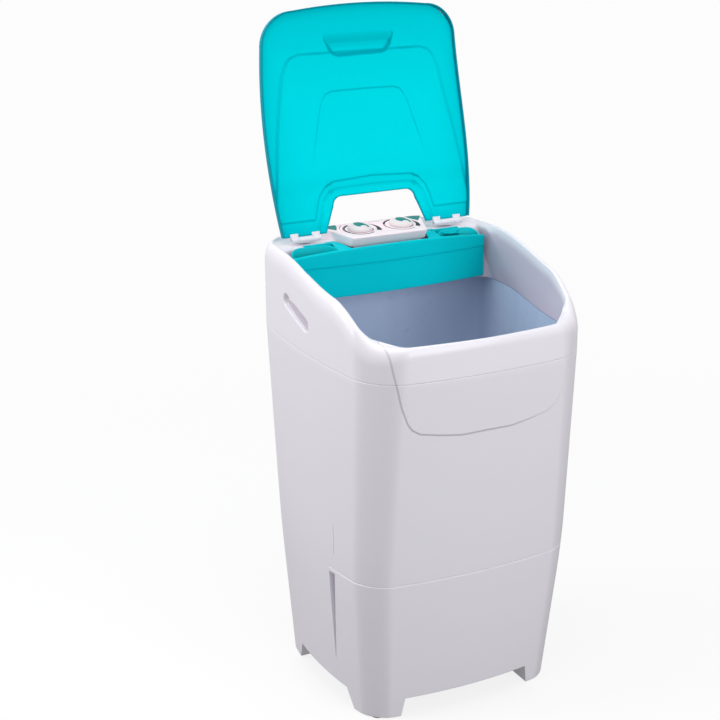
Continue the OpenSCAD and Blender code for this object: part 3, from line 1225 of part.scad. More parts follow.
// Wiring from the mains gland up to the controls and across to the motor
wire_r = 4;
branch_r = 3;
wire_sides = 12;
wire_pass = [100, 240];
wire_end = [70, 186];
wire_path = [[120, 218, 372], [120, 208, 374], [117, 205, 384], [110, 210, 420], [102, 218, 470],
    [100, 224, 560],
    [100, 232, 650], [100, 240, 736], [99, 240, 790], [95, 232, 825], [85, 212, 854], [73, 193, 872],
    [wire_end.x, wire_end.y, box_low], [wire_end.x, wire_end.y, box_low + 11]];
motor_wire_angle = 60;
function beside_motor(d) = [d * cos(motor_wire_angle), motor_y + d * sin(motor_wire_angle), 376];
branch_path = [[118, 205.5, 382], [108, 208, 378], [80, 214, 376], [52, 213, 376], beside_motor(motor_r + 12),
    beside_motor(motor_r + 0.4)];
module wiring_harness() color([0.15, 0.15, 0.16]) {
    ring_stack(turned_round(path_rings(wire_path, wire_r, wire_sides)));
    ring_stack(turned_round(path_rings(branch_path, branch_r, wire_sides)));
}

cabinet();
collar();
tub();
lid();
lid_hinge_brackets();
lid_hinge_pins();
hinge_screws();
dispenser_tray();
softener_flap();
flap_pin();
control_panel();
control_box();
timer_body();
selector_switch();
timer_shaft();
selector_shaft();
timer_knob();
program_knob();
lint_filter_frame();
lint_filter_net();
filter_guide();
pulsator();
pulsator_cap();
pulsator_screw();
drive_shaft();
shaft_seal();
upper_bush();
lower_bush();
bearing_housing();
housing_screws();
driven_pulley();
pulley_nut();
v_belt();
motor_pulley();
rotor();
stator();
motor_casing();
motor_top_bell();
motor_bottom_bell();
motor_bolts();
motor_bracket();
rubber_mounts();
bracket_bolts();
capacitor();
capacitor_nut();
drain_strainer();
drain_hose();
hose_clamps();
drain_spigot();
inlet_spigot();
inlet_hose();
cord_gland();
rear_cover();
cover_screws();
collar_screws();
foot_pads();
hose_hook();
wiring_harness();
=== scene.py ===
"""Looks of a semi-automatic washing machine with an open teal lid, built on its packed CAD frame.

Most surfaces are computed with numpy from the same formulas as the CAD, on finer grids.
The lid's relief, the tray's wings and the line above each side recess are in this scene only.
Lengths inside the builders are millimetres and are turned into metres when a mesh is made.
"""

import json
import math

import bmesh
import bpy
import numpy as np
from bpy.props import FloatProperty, FloatVectorProperty, PointerProperty
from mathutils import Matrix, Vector


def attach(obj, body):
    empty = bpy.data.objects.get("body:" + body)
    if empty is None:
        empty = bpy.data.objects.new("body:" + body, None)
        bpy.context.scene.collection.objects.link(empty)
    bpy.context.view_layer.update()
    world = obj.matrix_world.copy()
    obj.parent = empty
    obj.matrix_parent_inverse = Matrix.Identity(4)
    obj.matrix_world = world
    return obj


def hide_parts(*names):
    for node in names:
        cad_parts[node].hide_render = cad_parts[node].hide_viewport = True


bl_info = {
    "name": "Tub washing machine",
    "version": (1, 0, 0),
    "blender": (4, 5, 0),
    "location": "View3D > Sidebar > Washer",
    "description": "Builds the visible surfaces, finishes and studio of a tub washing machine",
    "category": "Object",
}

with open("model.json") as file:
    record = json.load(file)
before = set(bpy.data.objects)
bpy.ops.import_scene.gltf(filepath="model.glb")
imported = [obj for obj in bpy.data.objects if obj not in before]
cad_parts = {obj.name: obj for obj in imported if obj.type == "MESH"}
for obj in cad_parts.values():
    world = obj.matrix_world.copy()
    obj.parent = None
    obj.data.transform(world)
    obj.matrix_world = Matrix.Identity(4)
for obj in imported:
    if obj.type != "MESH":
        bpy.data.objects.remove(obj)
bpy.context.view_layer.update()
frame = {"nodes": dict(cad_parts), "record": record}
MM = 0.001
LID_LEAN = math.radians(10.3)
PANEL_LEAN = math.radians(4)
# Middle of the gap between the side legs
LEG_MIDDLE = -11
SIDE_NAMES = {-1: "left", 1: "right"}


# Sizes and colours


def length(name, description, default):
    """Property for one length in metres."""
    return FloatProperty(name=name, description=description, default=default, unit="LENGTH", precision=4)


def linear(value):
    """Linear light of a display value from 0 to 255: ((v + 0.055) / 1.055)^2.4 above the toe."""
    v = value / 255
    return v / 12.92 if v <= 0.04045 else ((v + 0.055) / 1.055) ** 2.4


def colour(name, description, red, green, blue):
    """Property for one colour, given as display values."""
    return FloatVectorProperty(
        name=name, description=description, size=3, min=0, max=1, subtype="COLOR",
        default=(linear(red), linear(green), linear(blue)))


class WasherSizes(bpy.types.PropertyGroup):
    """Driving sizes of the washing machine."""

    body_w: length("Body width", "Width of the cabinet at its top seam", 0.5196)
    body_d: length("Body depth", "Depth of the cabinet at its top seam", 0.5724)
    seam_z: length("Seam height", "Height of the seam between cabinet and collar", 0.737)
    waist_z: length("Waist height", "Height of the groove round the cabinet", 0.311)
    waist_w: length("Waist width", "Width of the cabinet at its waist", 0.511)
    waist_d: length("Waist depth", "Depth of the cabinet at its waist", 0.482)
    waist_shift: length("Waist shift", "How far the waist sits forward", 0.010)
    waist_ease: length("Waist ease", "Height over which the bend at the waist is eased", 0.070)
    floor_w: length("Floor width", "Width of the cabinet at the floor", 0.460)
    floor_d: length("Floor depth", "Depth of the cabinet at the floor", 0.438)
    corner_top: length("Top corner", "Corner radius at the seam", 0.070)
    corner_floor: length("Floor corner", "Corner radius at the floor", 0.042)
    face_bow: length("Face bow", "How far each face swells out in its middle", 0.023)
    wall: length("Wall", "Wall thickness of cabinet and collar", 0.003)
    skirt_z: length("Skirt height", "Height of the skirt's edge between the legs", 0.044)
    leg_z: length("Leg bottom", "Height of the underside of the legs", 0.003)
    leg_gap_x: length("Front leg gap", "Gap between the legs at the front", 0.284)
    leg_gap_y: length("Side leg gap", "Gap between the legs at the sides", 0.212)
    rim_z: length("Front rim height", "Height of the rim at the front", 0.806)
    crest_side_z: length("Side rim height", "Height of the rim half way along the sides", 0.870)
    crest_back_z: length("Back rim height", "Height of the rim at the back", 0.911)
    deck_y: length("Deck front", "Front edge of the deck that carries the lid", 0.160)
    deck_z: length("Deck height", "Height of the deck that carries the lid", 0.903)
    mouth_x: length("Mouth half width", "Half width of the mouth at the back", 0.236)
    mouth_back: length("Mouth back", "Rear edge of the mouth", 0.130)
    mouth_z: length("Mouth height", "Height of the mouth's lip at the back", 0.797)
    tub_floor_z: length("Tub floor", "Height of the tub's inner floor", 0.455)
    lid_l: length("Lid length", "Length of the lid from its hinge", 0.467)
    lid_x: length("Lid half width", "Half width of the lid at its hinge", 0.216)
    lid_swell: length("Lid swell", "How far each side of the lid swells out", 0.015)
    lid_dome: length("Lid dome", "Rise of the lid's skin over its length", 0.016)
    hinge_y: length("Hinge depth", "Position of the hinge line", 0.176)
    hinge_z: length("Hinge height", "Height of the hinge line", 0.914)
    tray_x: length("Tray half width", "Half width of the dispenser tray", 0.223)
    tray_front: length("Tray front", "Front face of the tray in the middle", 0.102)
    tray_bow: length("Tray bow", "How far the tray's front curves back", 0.016)
    tray_top: length("Tray top", "Height of the tray's top edge", 0.901)
    tray_bottom: length("Tray bottom", "Height of the tray's bottom edge", 0.802)
    pocket_z: length("Pocket floor", "Height of the pocket floors", 0.852)
    panel_y: length("Panel depth", "Middle of the control panel", 0.166)
    panel_z: length("Panel height", "Height of the control panel's middle", 0.923)
    panel_front_x: length("Panel front", "Half width of the panel at its front", 0.088)
    panel_back_x: length("Panel back", "Half width of the panel at its back", 0.118)
    knob_x: length("Knob offset", "Distance of each knob from the middle", 0.049)
    knob_d: length("Knob diameter", "Diameter of the knobs", 0.050)


class WasherColours(bpy.types.PropertyGroup):
    """Colours of the washing machine's finishes."""

    white: colour("White plastic", "Cabinet, collar and controls", 225, 222, 230)
    tub: colour("Tub plastic", "Inside of the wash tub", 204, 218, 240)
    lid: colour("Lid", "Moulded lid", 0, 213, 224)
    teal: colour("Teal plastic", "Dispenser tray and small mouldings", 0, 197, 208)
    mark: colour("Marks", "Teal marks and pointers", 6, 128, 124)
    ink: colour("Ink", "Dark printed marks", 30, 34, 52)


# Shared maths


def smooth(t):
    """Eased step: t^2 (3 - 2 t) with t held between 0 and 1."""
    t = np.clip(t, 0, 1)
    return t * t * (3 - 2 * t)


def mix(a, b, t):
    """Straight blend a + (b - a) t."""
    return a + (b - a) * t


def sizes():
    """The driving sizes in millimetres, by name."""
    group = bpy.context.scene.washer_sizes
    return {name: getattr(group, name) / MM for name in WasherSizes.__annotations__}


def ring_table(arc, back, side, front):
    """Columns round a rounded rectangle: two corner numbers, a share between them and an arc angle.

    Columns run from the right rear corner to the left.
    Each corner has arc + 1 columns and each side the rest.
    """
    first, second, share, angle = [], [], [], []
    for c, count in enumerate((back, side, front, side)):
        first += [c] * (arc + count)
        second += [c] * (arc + 1) + [(c + 1) % 4] * (count - 1)
        share += [0.0] * (arc + 1) + [k / count for k in range(1, count)]
        angle += [90 * c + 90 * k / arc for k in range(arc + 1)] + [90 * (c + 1)] * (count - 1)
    return {"i": np.array(first), "j": np.array(second), "f": np.array(share),
            "a": np.radians(np.array(angle))}


def corner_ring(table, rx, ry, rr, fx, fy, fr, share=None):
    """Rounded rectangle with its own half width, reach and radius at the rear and at the front.

    Corner centres are (rx - rr, ry - rr) and (fx - fr, fy + fr) with their mirror images.
    A point is mix(centre i, centre j, f) + mix(r i, r j, f) (cos a, sin a).
    """
    given = (rx, ry, rr, fx, fy, fr)
    rx, ry, rr, fx, fy, fr = np.broadcast_arrays(*[np.atleast_1d(np.asarray(v, float)) for v in given])
    cx = np.stack([rx - rr, rr - rx, fr - fx, fx - fr])
    cy = np.stack([ry - rr, ry - rr, fy + fr, fy + fr])
    cr = np.stack([rr, rr, fr, fr])
    f = table["f"][None, :] if share is None else share
    radius = mix(cr[table["i"]].T, cr[table["j"]].T, f)
    x = mix(cx[table["i"]].T, cx[table["j"]].T, f) + radius * np.cos(table["a"])
    y = mix(cy[table["i"]].T, cy[table["j"]].T, f) + radius * np.sin(table["a"])
    return x, y


def bent(z, at_floor, at_waist, at_seam, s):
    """Value that runs straight from floor to waist and from waist to seam.

    The bend adds (slope above - slope below) e (1 - |z - waist| / e)^2 / 4 within the ease e.
    """
    below = (at_waist - at_floor) / s["waist_z"]
    above = (at_seam - at_waist) / (s["seam_z"] - s["waist_z"])
    straight = np.where(z < s["waist_z"], at_floor + below * z, at_waist + above * (z - s["waist_z"]))
    t = np.clip(np.abs(z - s["waist_z"]) / s["waist_ease"], 0, 1)
    return straight + (above - below) * s["waist_ease"] * (1 - t) ** 2 / 4


def body_sizes(z, s):
    """Half width and half depth without the bow, corner radius and shift of the body at heights z."""
    a = bent(z, s["floor_w"], s["waist_w"], s["body_w"], s) / 2 - s["face_bow"]
    b = bent(z, s["floor_d"], s["waist_d"], s["body_d"], s) / 2 - s["face_bow"]
    r = mix(s["corner_floor"], s["corner_top"], z / s["seam_z"])
    return a, b, r, bent(z, 0.0, -s["waist_shift"], 0.0, s)


def bowed_body(x, y, a, b, shift, s):
    """Swells a flat ring: x (1 + bow / a (1 - (y / b)^2)), y (1 + bow / b (1 - (x / a)^2)) + shift."""
    wide = x * (1 + s["face_bow"] / a * (1 - (y / b) ** 2))
    deep = y * (1 + s["face_bow"] / b * (1 - (x / a) ** 2))
    return wide, deep + shift


def body_ring(table, z, s, share=None):
    """Rings of the body's outer face at heights z, as x and y of shape (rows, columns)."""
    z = np.atleast_1d(np.asarray(z, float))
    a, b, r, shift = body_sizes(z, s)
    x, y = corner_ring(table, a, b, r, a, -b, r, share)
    return bowed_body(x, y, a[:, None], b[:, None], shift[:, None], s)


def inward(x, y):
    """Unit normal that points inwards at each point of rings that run anticlockwise."""
    tx = np.roll(x, -1, axis=-1) - np.roll(x, 1, axis=-1)
    ty = np.roll(y, -1, axis=-1) - np.roll(y, 1, axis=-1)
    size = np.maximum(np.hypot(tx, ty), 1e-9)
    return -ty / size, tx / size


def rounded(points, reach, steps=6):
    """Replaces each inner point of a chain of rings by a quadratic arc.

    The arc is (1 - t)^2 A + 2 t (1 - t) P + t^2 B, with A and B at the reach from P on either side.
    """
    out = [points[0]]
    ts = np.linspace(0, 1, steps)[:, None, None]
    for k in range(1, len(points) - 1):
        before, here, after = points[k - 1], points[k], points[k + 1]
        d0 = np.linalg.norm(before - here, axis=1, keepdims=True)
        d1 = np.linalg.norm(after - here, axis=1, keepdims=True)
        r = np.minimum(reach[k], 0.45 * np.minimum(d0, d1))
        a = here + (before - here) * r / np.maximum(d0, 1e-9)
        b = here + (after - here) * r / np.maximum(d1, 1e-9)
        out += list((1 - ts) ** 2 * a + 2 * ts * (1 - ts) * here + ts ** 2 * b)
    return out + [points[-1]]


def outline_distance(u, v, points):
    """Least distance from each (u, v) to a chain of points."""
    best = np.full(np.shape(u), 1e9)
    for a, b in zip(points[:-1], points[1:]):
        d = np.subtract(b, a)
        t = np.clip(((u - a[0]) * d[0] + (v - a[1]) * d[1]) / (d @ d), 0, 1)
        best = np.minimum(best, np.hypot(u - a[0] - t * d[0], v - a[1] - t * d[1]))
    return best


def along(x, points, beyond=None):
    """Second value of a chain of (x, y) points at x; beyond its ends it holds, or gives the value beyond."""
    return np.interp(x, *np.transpose(points), left=beyond, right=beyond)


def squared(value, power):
    """Sine or cosine raised to a power with its sign kept, which squares an ellipse off."""
    return np.sign(value) * np.abs(value) ** power


# Mesh making


def new_piece(name, vertices, faces, body, material, slot, sharp=40, merge=False, layers=None):
    """Mesh object from millimetre vertices and arrays of quads, riding a body."""
    mesh = bpy.data.meshes.new(name)
    vertices = np.asarray(vertices, float).reshape(-1, 3) * MM
    faces = [np.asarray(f, np.int32) for f in faces]
    sides = np.concatenate([np.full(len(f), f.shape[1], np.int32) for f in faces])
    corners = np.concatenate([f.ravel() for f in faces])
    mesh.vertices.add(len(vertices))
    mesh.vertices.foreach_set("co", vertices.ravel())
    mesh.loops.add(len(corners))
    mesh.loops.foreach_set("vertex_index", corners)
    mesh.polygons.add(len(sides))
    mesh.polygons.foreach_set("loop_start", np.concatenate([[0], np.cumsum(sides)[:-1]]).astype(np.int32))
    for key, values in (layers or {}).items():
        layer = mesh.attributes.new(key, "FLOAT", "POINT")
        layer.data.foreach_set("value", np.ravel(values).astype(np.float32))
    mesh.update(calc_edges=True)
    mesh.validate()
    if merge:
        work = bmesh.new()
        work.from_mesh(mesh)
        bmesh.ops.remove_doubles(work, verts=work.verts, dist=0.00001)
        bmesh.ops.recalc_face_normals(work, faces=work.faces)
        work.to_mesh(mesh)
        work.free()
    mesh.polygons.foreach_set("use_smooth", np.ones(len(mesh.polygons), bool))
    mesh.set_sharp_from_angle(angle=math.radians(sharp))
    piece = bpy.data.objects.new(name, mesh)
    bpy.context.scene.collection.objects.link(piece)
    mesh.materials.append(material)
    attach(piece, body)
    return piece


def grid_faces(rows, columns, wrap_rows=False, wrap_columns=True, start=0):
    """Quads of a grid of rows and columns, each closed on itself where asked."""
    r = np.arange(rows if wrap_rows else rows - 1)
    c = np.arange(columns if wrap_columns else columns - 1)
    r, c = np.meshgrid(r, c, indexing="ij")
    r2, c2 = (r + 1) % rows, (c + 1) % columns
    quads = np.stack([r * columns + c, r * columns + c2, r2 * columns + c2, r2 * columns + c], axis=-1)
    return quads.reshape(-1, 4) + start


def rings_piece(name, rows, body, material, slot, wrap=False, **more):
    """Piece from a stack of closed rings; a stack that doesn't close on itself begins and ends in a pole."""
    grid = np.stack([np.asarray(r, float) for r in rows])
    faces = [grid_faces(grid.shape[0], grid.shape[1], wrap_rows=wrap)]
    return new_piece(name, grid, faces, body, material, slot, merge=not wrap, **more)


def with_poles(rows):
    """Adds a ring shrunk to its middle at each end of a stack, so that it closes."""
    low = np.broadcast_to(rows[0].mean(0), rows[0].shape)
    high = np.broadcast_to(rows[-1].mean(0), rows[-1].shape)
    return [low, *rows, high]


def sheet_piece(name, face, back, body, material, slot, layers=None, **more):
    """Closed sheet between two grids of the same shape, with a strip along each edge."""
    rows, columns = face.shape[:2]
    n = rows * columns
    front = grid_faces(rows, columns, wrap_columns=False)
    rear = grid_faces(rows, columns, wrap_columns=False, start=n)[:, ::-1]
    index = np.arange(n).reshape(rows, columns)
    border = np.concatenate([index[0, :], index[1:, -1], index[-1, -2::-1], index[-2:0:-1, 0]])
    after = np.roll(border, -1)
    edge = np.stack([border, border + n, after + n, after], axis=-1)
    both = {k: np.concatenate([np.ravel(v), np.ravel(v)]) for k, v in (layers or {}).items()}
    points = np.concatenate([face.reshape(-1, 3), back.reshape(-1, 3)])
    return new_piece(name, points, [front, rear, edge], body, material, slot, layers=both, **more)


# Finishes


def node_tree(name):
    """Fresh material with a Principled shader, as (material, tree, shader)."""
    material = bpy.data.materials.new(name)
    material.use_nodes = True
    tree = material.node_tree
    return material, tree, tree.nodes["Principled BSDF"]


def grain_group():
    """Shared group: slow tone, fine roughness and moulded grain from Object coordinates.

    Tone is a slow noise, Gloss a middle one and Height a fine one plus a third of the middle one.
    """
    if "moulded_grain" in bpy.data.node_groups:
        return bpy.data.node_groups["moulded_grain"]
    group = bpy.data.node_groups.new("moulded_grain", "ShaderNodeTree")
    for name, value in (("Slow", 4.0), ("Middle", 45.0), ("Fine", 900.0)):
        socket = group.interface.new_socket(name, in_out="INPUT", socket_type="NodeSocketFloat")
        socket.default_value = value
    for name in ("Tone", "Gloss", "Height"):
        group.interface.new_socket(name, in_out="OUTPUT", socket_type="NodeSocketFloat")
    nodes, links = group.nodes, group.links
    given = nodes.new("NodeGroupInput")
    made = nodes.new("NodeGroupOutput")
    place = nodes.new("ShaderNodeTexCoord")
    parts = {}
    for name in ("Slow", "Middle", "Fine"):
        noise = nodes.new("ShaderNodeTexNoise")
        noise.inputs["Detail"].default_value = 3.0
        links.new(place.outputs["Object"], noise.inputs["Vector"])
        links.new(given.outputs[name], noise.inputs["Scale"])
        parts[name] = noise.outputs["Fac"]
    third = nodes.new("ShaderNodeMath")
    third.operation = "MULTIPLY_ADD"
    third.inputs[1].default_value = 0.33
    links.new(parts["Middle"], third.inputs[0])
    links.new(parts["Fine"], third.inputs[2])
    links.new(parts["Slow"], made.inputs["Tone"])
    links.new(parts["Middle"], made.inputs["Gloss"])
    links.new(third.outputs[0], made.inputs["Height"])
    return group


def mixed(tree, factor, first, second):
    """Colour mix node; each input is a socket or a constant colour."""
    node = tree.nodes.new("ShaderNodeMix")
    node.data_type = "RGBA"
    sockets = (node.inputs["Factor"], node.inputs["A"], node.inputs["B"])
    for socket, value in zip(sockets, (factor, first, second)):
        if isinstance(value, bpy.types.NodeSocket):
            tree.links.new(value, socket)
        elif isinstance(value, (int, float)):
            socket.default_value = value
        else:
            socket.default_value = (*value, 1)
    return node.outputs["Result"]


def ranged(tree, value, low, high, to_low=0.0, to_high=1.0, kind="SMOOTHSTEP"):
    """Map Range node from low..high to to_low..to_high."""
    node = tree.nodes.new("ShaderNodeMapRange")
    node.interpolation_type = kind
    node.inputs["From Min"].default_value = low
    node.inputs["From Max"].default_value = high
    node.inputs["To Min"].default_value = to_low
    node.inputs["To Max"].default_value = to_high
    tree.links.new(value, node.inputs["Value"])
    return node.outputs["Result"]


def maths(tree, operation, first, second=None, third=None):
    """Math node; inputs are sockets or numbers."""
    node = tree.nodes.new("ShaderNodeMath")
    node.operation = operation
    for socket, value in zip(node.inputs, (first, second, third)):
        if isinstance(value, bpy.types.NodeSocket):
            tree.links.new(value, socket)
        elif value is not None:
            socket.default_value = value
    return node.outputs[0]


def times(tree, first, second):
    """Product of two sockets, or of a socket and a number."""
    return maths(tree, "MULTIPLY", first, second)


def minus(tree, first, second):
    """Difference of two sockets, or of a socket and a number."""
    return maths(tree, "SUBTRACT", first, second)


def finish(name, base, rough=0.4, spread=0.08, tone=0.04, depth=0.00004, coat=0.0, metallic=0.0, middle=45.0,
           height=None, height_depth=0.0, tint=None, shine=0.5):
    """Procedural finish: tone, roughness and grain vary with the shared group.

    The tint may recolour the base, and the height adds a bump of its own.
    """
    material, tree, shader = node_tree(name)
    grain = tree.nodes.new("ShaderNodeGroup")
    grain.node_tree = grain_group()
    grain.inputs["Middle"].default_value = middle
    dark = tuple(c * (1 - tone) for c in base)
    light = tuple(min(1.0, c * (1 + tone)) for c in base)
    result = mixed(tree, grain.outputs["Tone"], dark, light)
    if tint:
        result = tint(tree, result)
    tree.links.new(result, shader.inputs["Base Color"])
    smoothest, roughest = max(0.02, rough - spread), min(1.0, rough + spread)
    gloss = ranged(tree, grain.outputs["Gloss"], 0.3, 0.7, smoothest, roughest, "LINEAR")
    tree.links.new(gloss, shader.inputs["Roughness"])
    shader.inputs["Metallic"].default_value = metallic
    shader.inputs["Specular IOR Level"].default_value = shine
    shader.inputs["Coat Weight"].default_value = coat
    shader.inputs["Coat Roughness"].default_value = 0.15
    bump = tree.nodes.new("ShaderNodeBump")
    bump.inputs["Distance"].default_value = depth
    bump.inputs["Strength"].default_value = 0.6
    tree.links.new(grain.outputs["Height"], bump.inputs["Height"])
    last = bump
    if height:
        last = tree.nodes.new("ShaderNodeBump")
        last.inputs["Distance"].default_value = height_depth
        last.inputs["Strength"].default_value = 1.0
        tree.links.new(height(tree), last.inputs["Height"])
        tree.links.new(bump.outputs["Normal"], last.inputs["Normal"])
    tree.links.new(last.outputs["Normal"], shader.inputs["Normal"])
    return material


def shaded(base, red, green=None, blue=None):
    """A colour with each channel times its own factor, or all three times the first one."""
    factors = (red, red if green is None else green, red if blue is None else blue)
    return tuple(c * f for c, f in zip(base, factors))


def distance(tree, x, y):
    """Square root of x^2 + y^2."""
    return maths(tree, "SQRT", maths(tree, "ADD", times(tree, x, x), times(tree, y, y)))


def attribute(tree, name):
    """Value of a stored vertex layer."""
    node = tree.nodes.new("ShaderNodeAttribute")
    node.attribute_name = name
    return node.outputs["Fac"]


def place_xyz(tree):
    """Object coordinates split into x, y and z sockets, in metres."""
    place = tree.nodes.new("ShaderNodeTexCoord")
    split = tree.nodes.new("ShaderNodeSeparateXYZ")
    tree.links.new(place.outputs["Object"], split.inputs[0])
    return tuple(split.outputs)


# Right half of the front apron's outline, from the rim down, as (x, z)
APRON_HALF = [(204, 806), (199, 773), (193, 744), (181, 692), (168, 657), (159, 644), (142, 633), (99, 625),
              (55, 619)]
APRON = np.array([(-x, z) for x, z in APRON_HALF] + [(0, 620)] + APRON_HALF[::-1], float)


def apron_distance(points):
    """Signed distance to the apron's outline, positive above it on the front of the body.

    Nothing is moved by it: the white finish draws the outline as a bump.
    """
    x, y, z = np.moveaxis(points, -1, 0)
    away = outline_distance(x, z, APRON)
    return np.where((z > along(x, APRON, 1e6)) & (y < -100), away, -away)


# Collar formulas

# Half width and place of the mouth's front edge
MOUTH_FRONT_X = 208
MOUTH_FRONT = -258
# Where the crest's front and rear climbs begin, and how far each runs
FRONT_CLIMB = (-262, 152)
REAR_CLIMB = (-150, 260)
# Crest's inset and drop at the sides, front, rear, front corners and rear corners
CREST_IN = (12, 8, 30, 13, 4)
CREST_DROP = (40, 18, 50, 8, 0)
# Middle, run, rise, half height and depth of the hand grips, which lean up to the back
GRIP_Y, GRIP_Z, GRIP_RUN, GRIP_RISE, GRIP_R, GRIP_DEPTH = 29.5, 809, 89, 26, 14, 9


def climbed(y, climb):
    """Share of a climb at y: 0 before its beginning and 1 after its run."""
    return smooth((y - climb[0]) / climb[1])


def crest_z(y, s):
    """Rim height: an eased climb from the front to the sides, and one from there to the back."""
    return mix(s["rim_z"], s["crest_side_z"], climbed(y, FRONT_CLIMB)) + (
        s["crest_back_z"] - s["crest_side_z"]) * climbed(y, REAR_CLIMB)


def crest_blend(y, nx, ny, values):
    """Blend by the direction of the wall's normal: side nx^2 + end ny^2 + corner 2 |nx ny|."""
    side, front, rear, front_corner, rear_corner = values
    end = np.where(y > 0, rear, front)
    corner = np.where(y > 0, rear_corner, front_corner)
    return side * nx ** 2 + end * ny ** 2 + corner * 2 * np.abs(nx * ny)


def wall_top_z(y, s):
    """Height of the inner wall's top edge: 4 to 36 below the crest, or the deck at the back."""
    share = smooth((y + 235) / 85) * (1 - smooth((y - 70) / 70))
    return np.where(y > s["deck_y"] - 1, s["deck_z"], np.minimum(s["deck_z"], crest_z(y, s) - 4 - 32 * share))


def lip_z(y, s):
    """Height of the mouth's lip, 15 lower at the front than at the back."""
    return s["mouth_z"] - 15 * smooth((40 - y) / 190)


def bowed_mouth(x, y, share, s):
    """Swells the sides of the mouth by 5 and its front by 8."""
    side = smooth((s["mouth_back"] - 30 - y) / 60) * smooth((y + 218) / 60)
    front = np.where(y < MOUTH_FRONT + 20, np.maximum(0, 1 - (x / MOUTH_FRONT_X) ** 2), 0)
    return x + np.sign(x) * 5 * side * share, y - 8 * front * share


def mouth_ring(table, grow, s):
    """Ring of the mouth's edge, grown outwards."""
    x, y = corner_ring(table, s["mouth_x"] + grow, s["mouth_back"] + grow, 35 + grow,
                       MOUTH_FRONT_X + grow, MOUTH_FRONT - grow, 70 + grow)
    return bowed_mouth(x[0], y[0], 1.0, s)


# Options that the moulded teal finishes share
MOULDED = dict(spread=0.02, tone=0.015, depth=0.00001)

# Builders


def white_finish():
    """White moulded plastic of cabinet, collar and legs, with the apron's outline and shaded corners."""
    if "white_moulding" in bpy.data.materials:
        return bpy.data.materials["white_moulding"]
    white = bpy.context.scene.washer_colours.white

    def tint(tree, result):
        """Darker low down, under the seam, at rounded corners and inside."""
        z = place_xyz(tree)[2]
        # Painted shade: a little toward the floor, more over the cabinet below the seam
        low = maths(tree, "ADD", times(tree, ranged(tree, z, 0.0, 0.35, 1.0, 0.0), 0.03),
                    times(tree, ranged(tree, z, 0.72, 0.74, 1.0, 0.0), 0.14))
        # Painted shade on the rounded corners, where the normal lies between two faces
        turned = tree.nodes.new("ShaderNodeSeparateXYZ")
        tree.links.new(tree.nodes.new("ShaderNodeNewGeometry").outputs["Normal"], turned.inputs[0])
        corner = maths(tree, "ABSOLUTE", times(tree, turned.outputs["X"], turned.outputs["Y"]))
        corner = times(tree, ranged(tree, corner, 0.12, 0.5), 0.55)
        result = mixed(tree, maths(tree, "MAXIMUM", low, corner), result, shaded(white, 0.72))
        # Painted shade from the inner layer: the collar's inner wall and the cabinet's side recesses
        inner = times(tree, ranged(tree, attribute(tree, "inner"), 0.0, 1.0), 0.8)
        return mixed(tree, inner, result, shaded(white, 0.60, 0.53, 0.61))

    def height(tree):
        """Step at the apron's outline, faded to the right and left out at the rear."""
        x, y, _ = place_xyz(tree)
        toward_right = ranged(tree, x, 0.02, 0.17, 1.0, 0.25)
        toward_rear = ranged(tree, y, -0.16, -0.12, 1.0, 0.0)
        fade = times(tree, toward_right, toward_rear)
        return times(tree, ranged(tree, attribute(tree, "apron"), -2.5, 2.5), fade)

    return finish("white_moulding", white, rough=0.36, spread=0.03, tone=0.012, depth=0.00002, coat=0.15,
                  tint=tint, height=height, height_depth=0.0028)


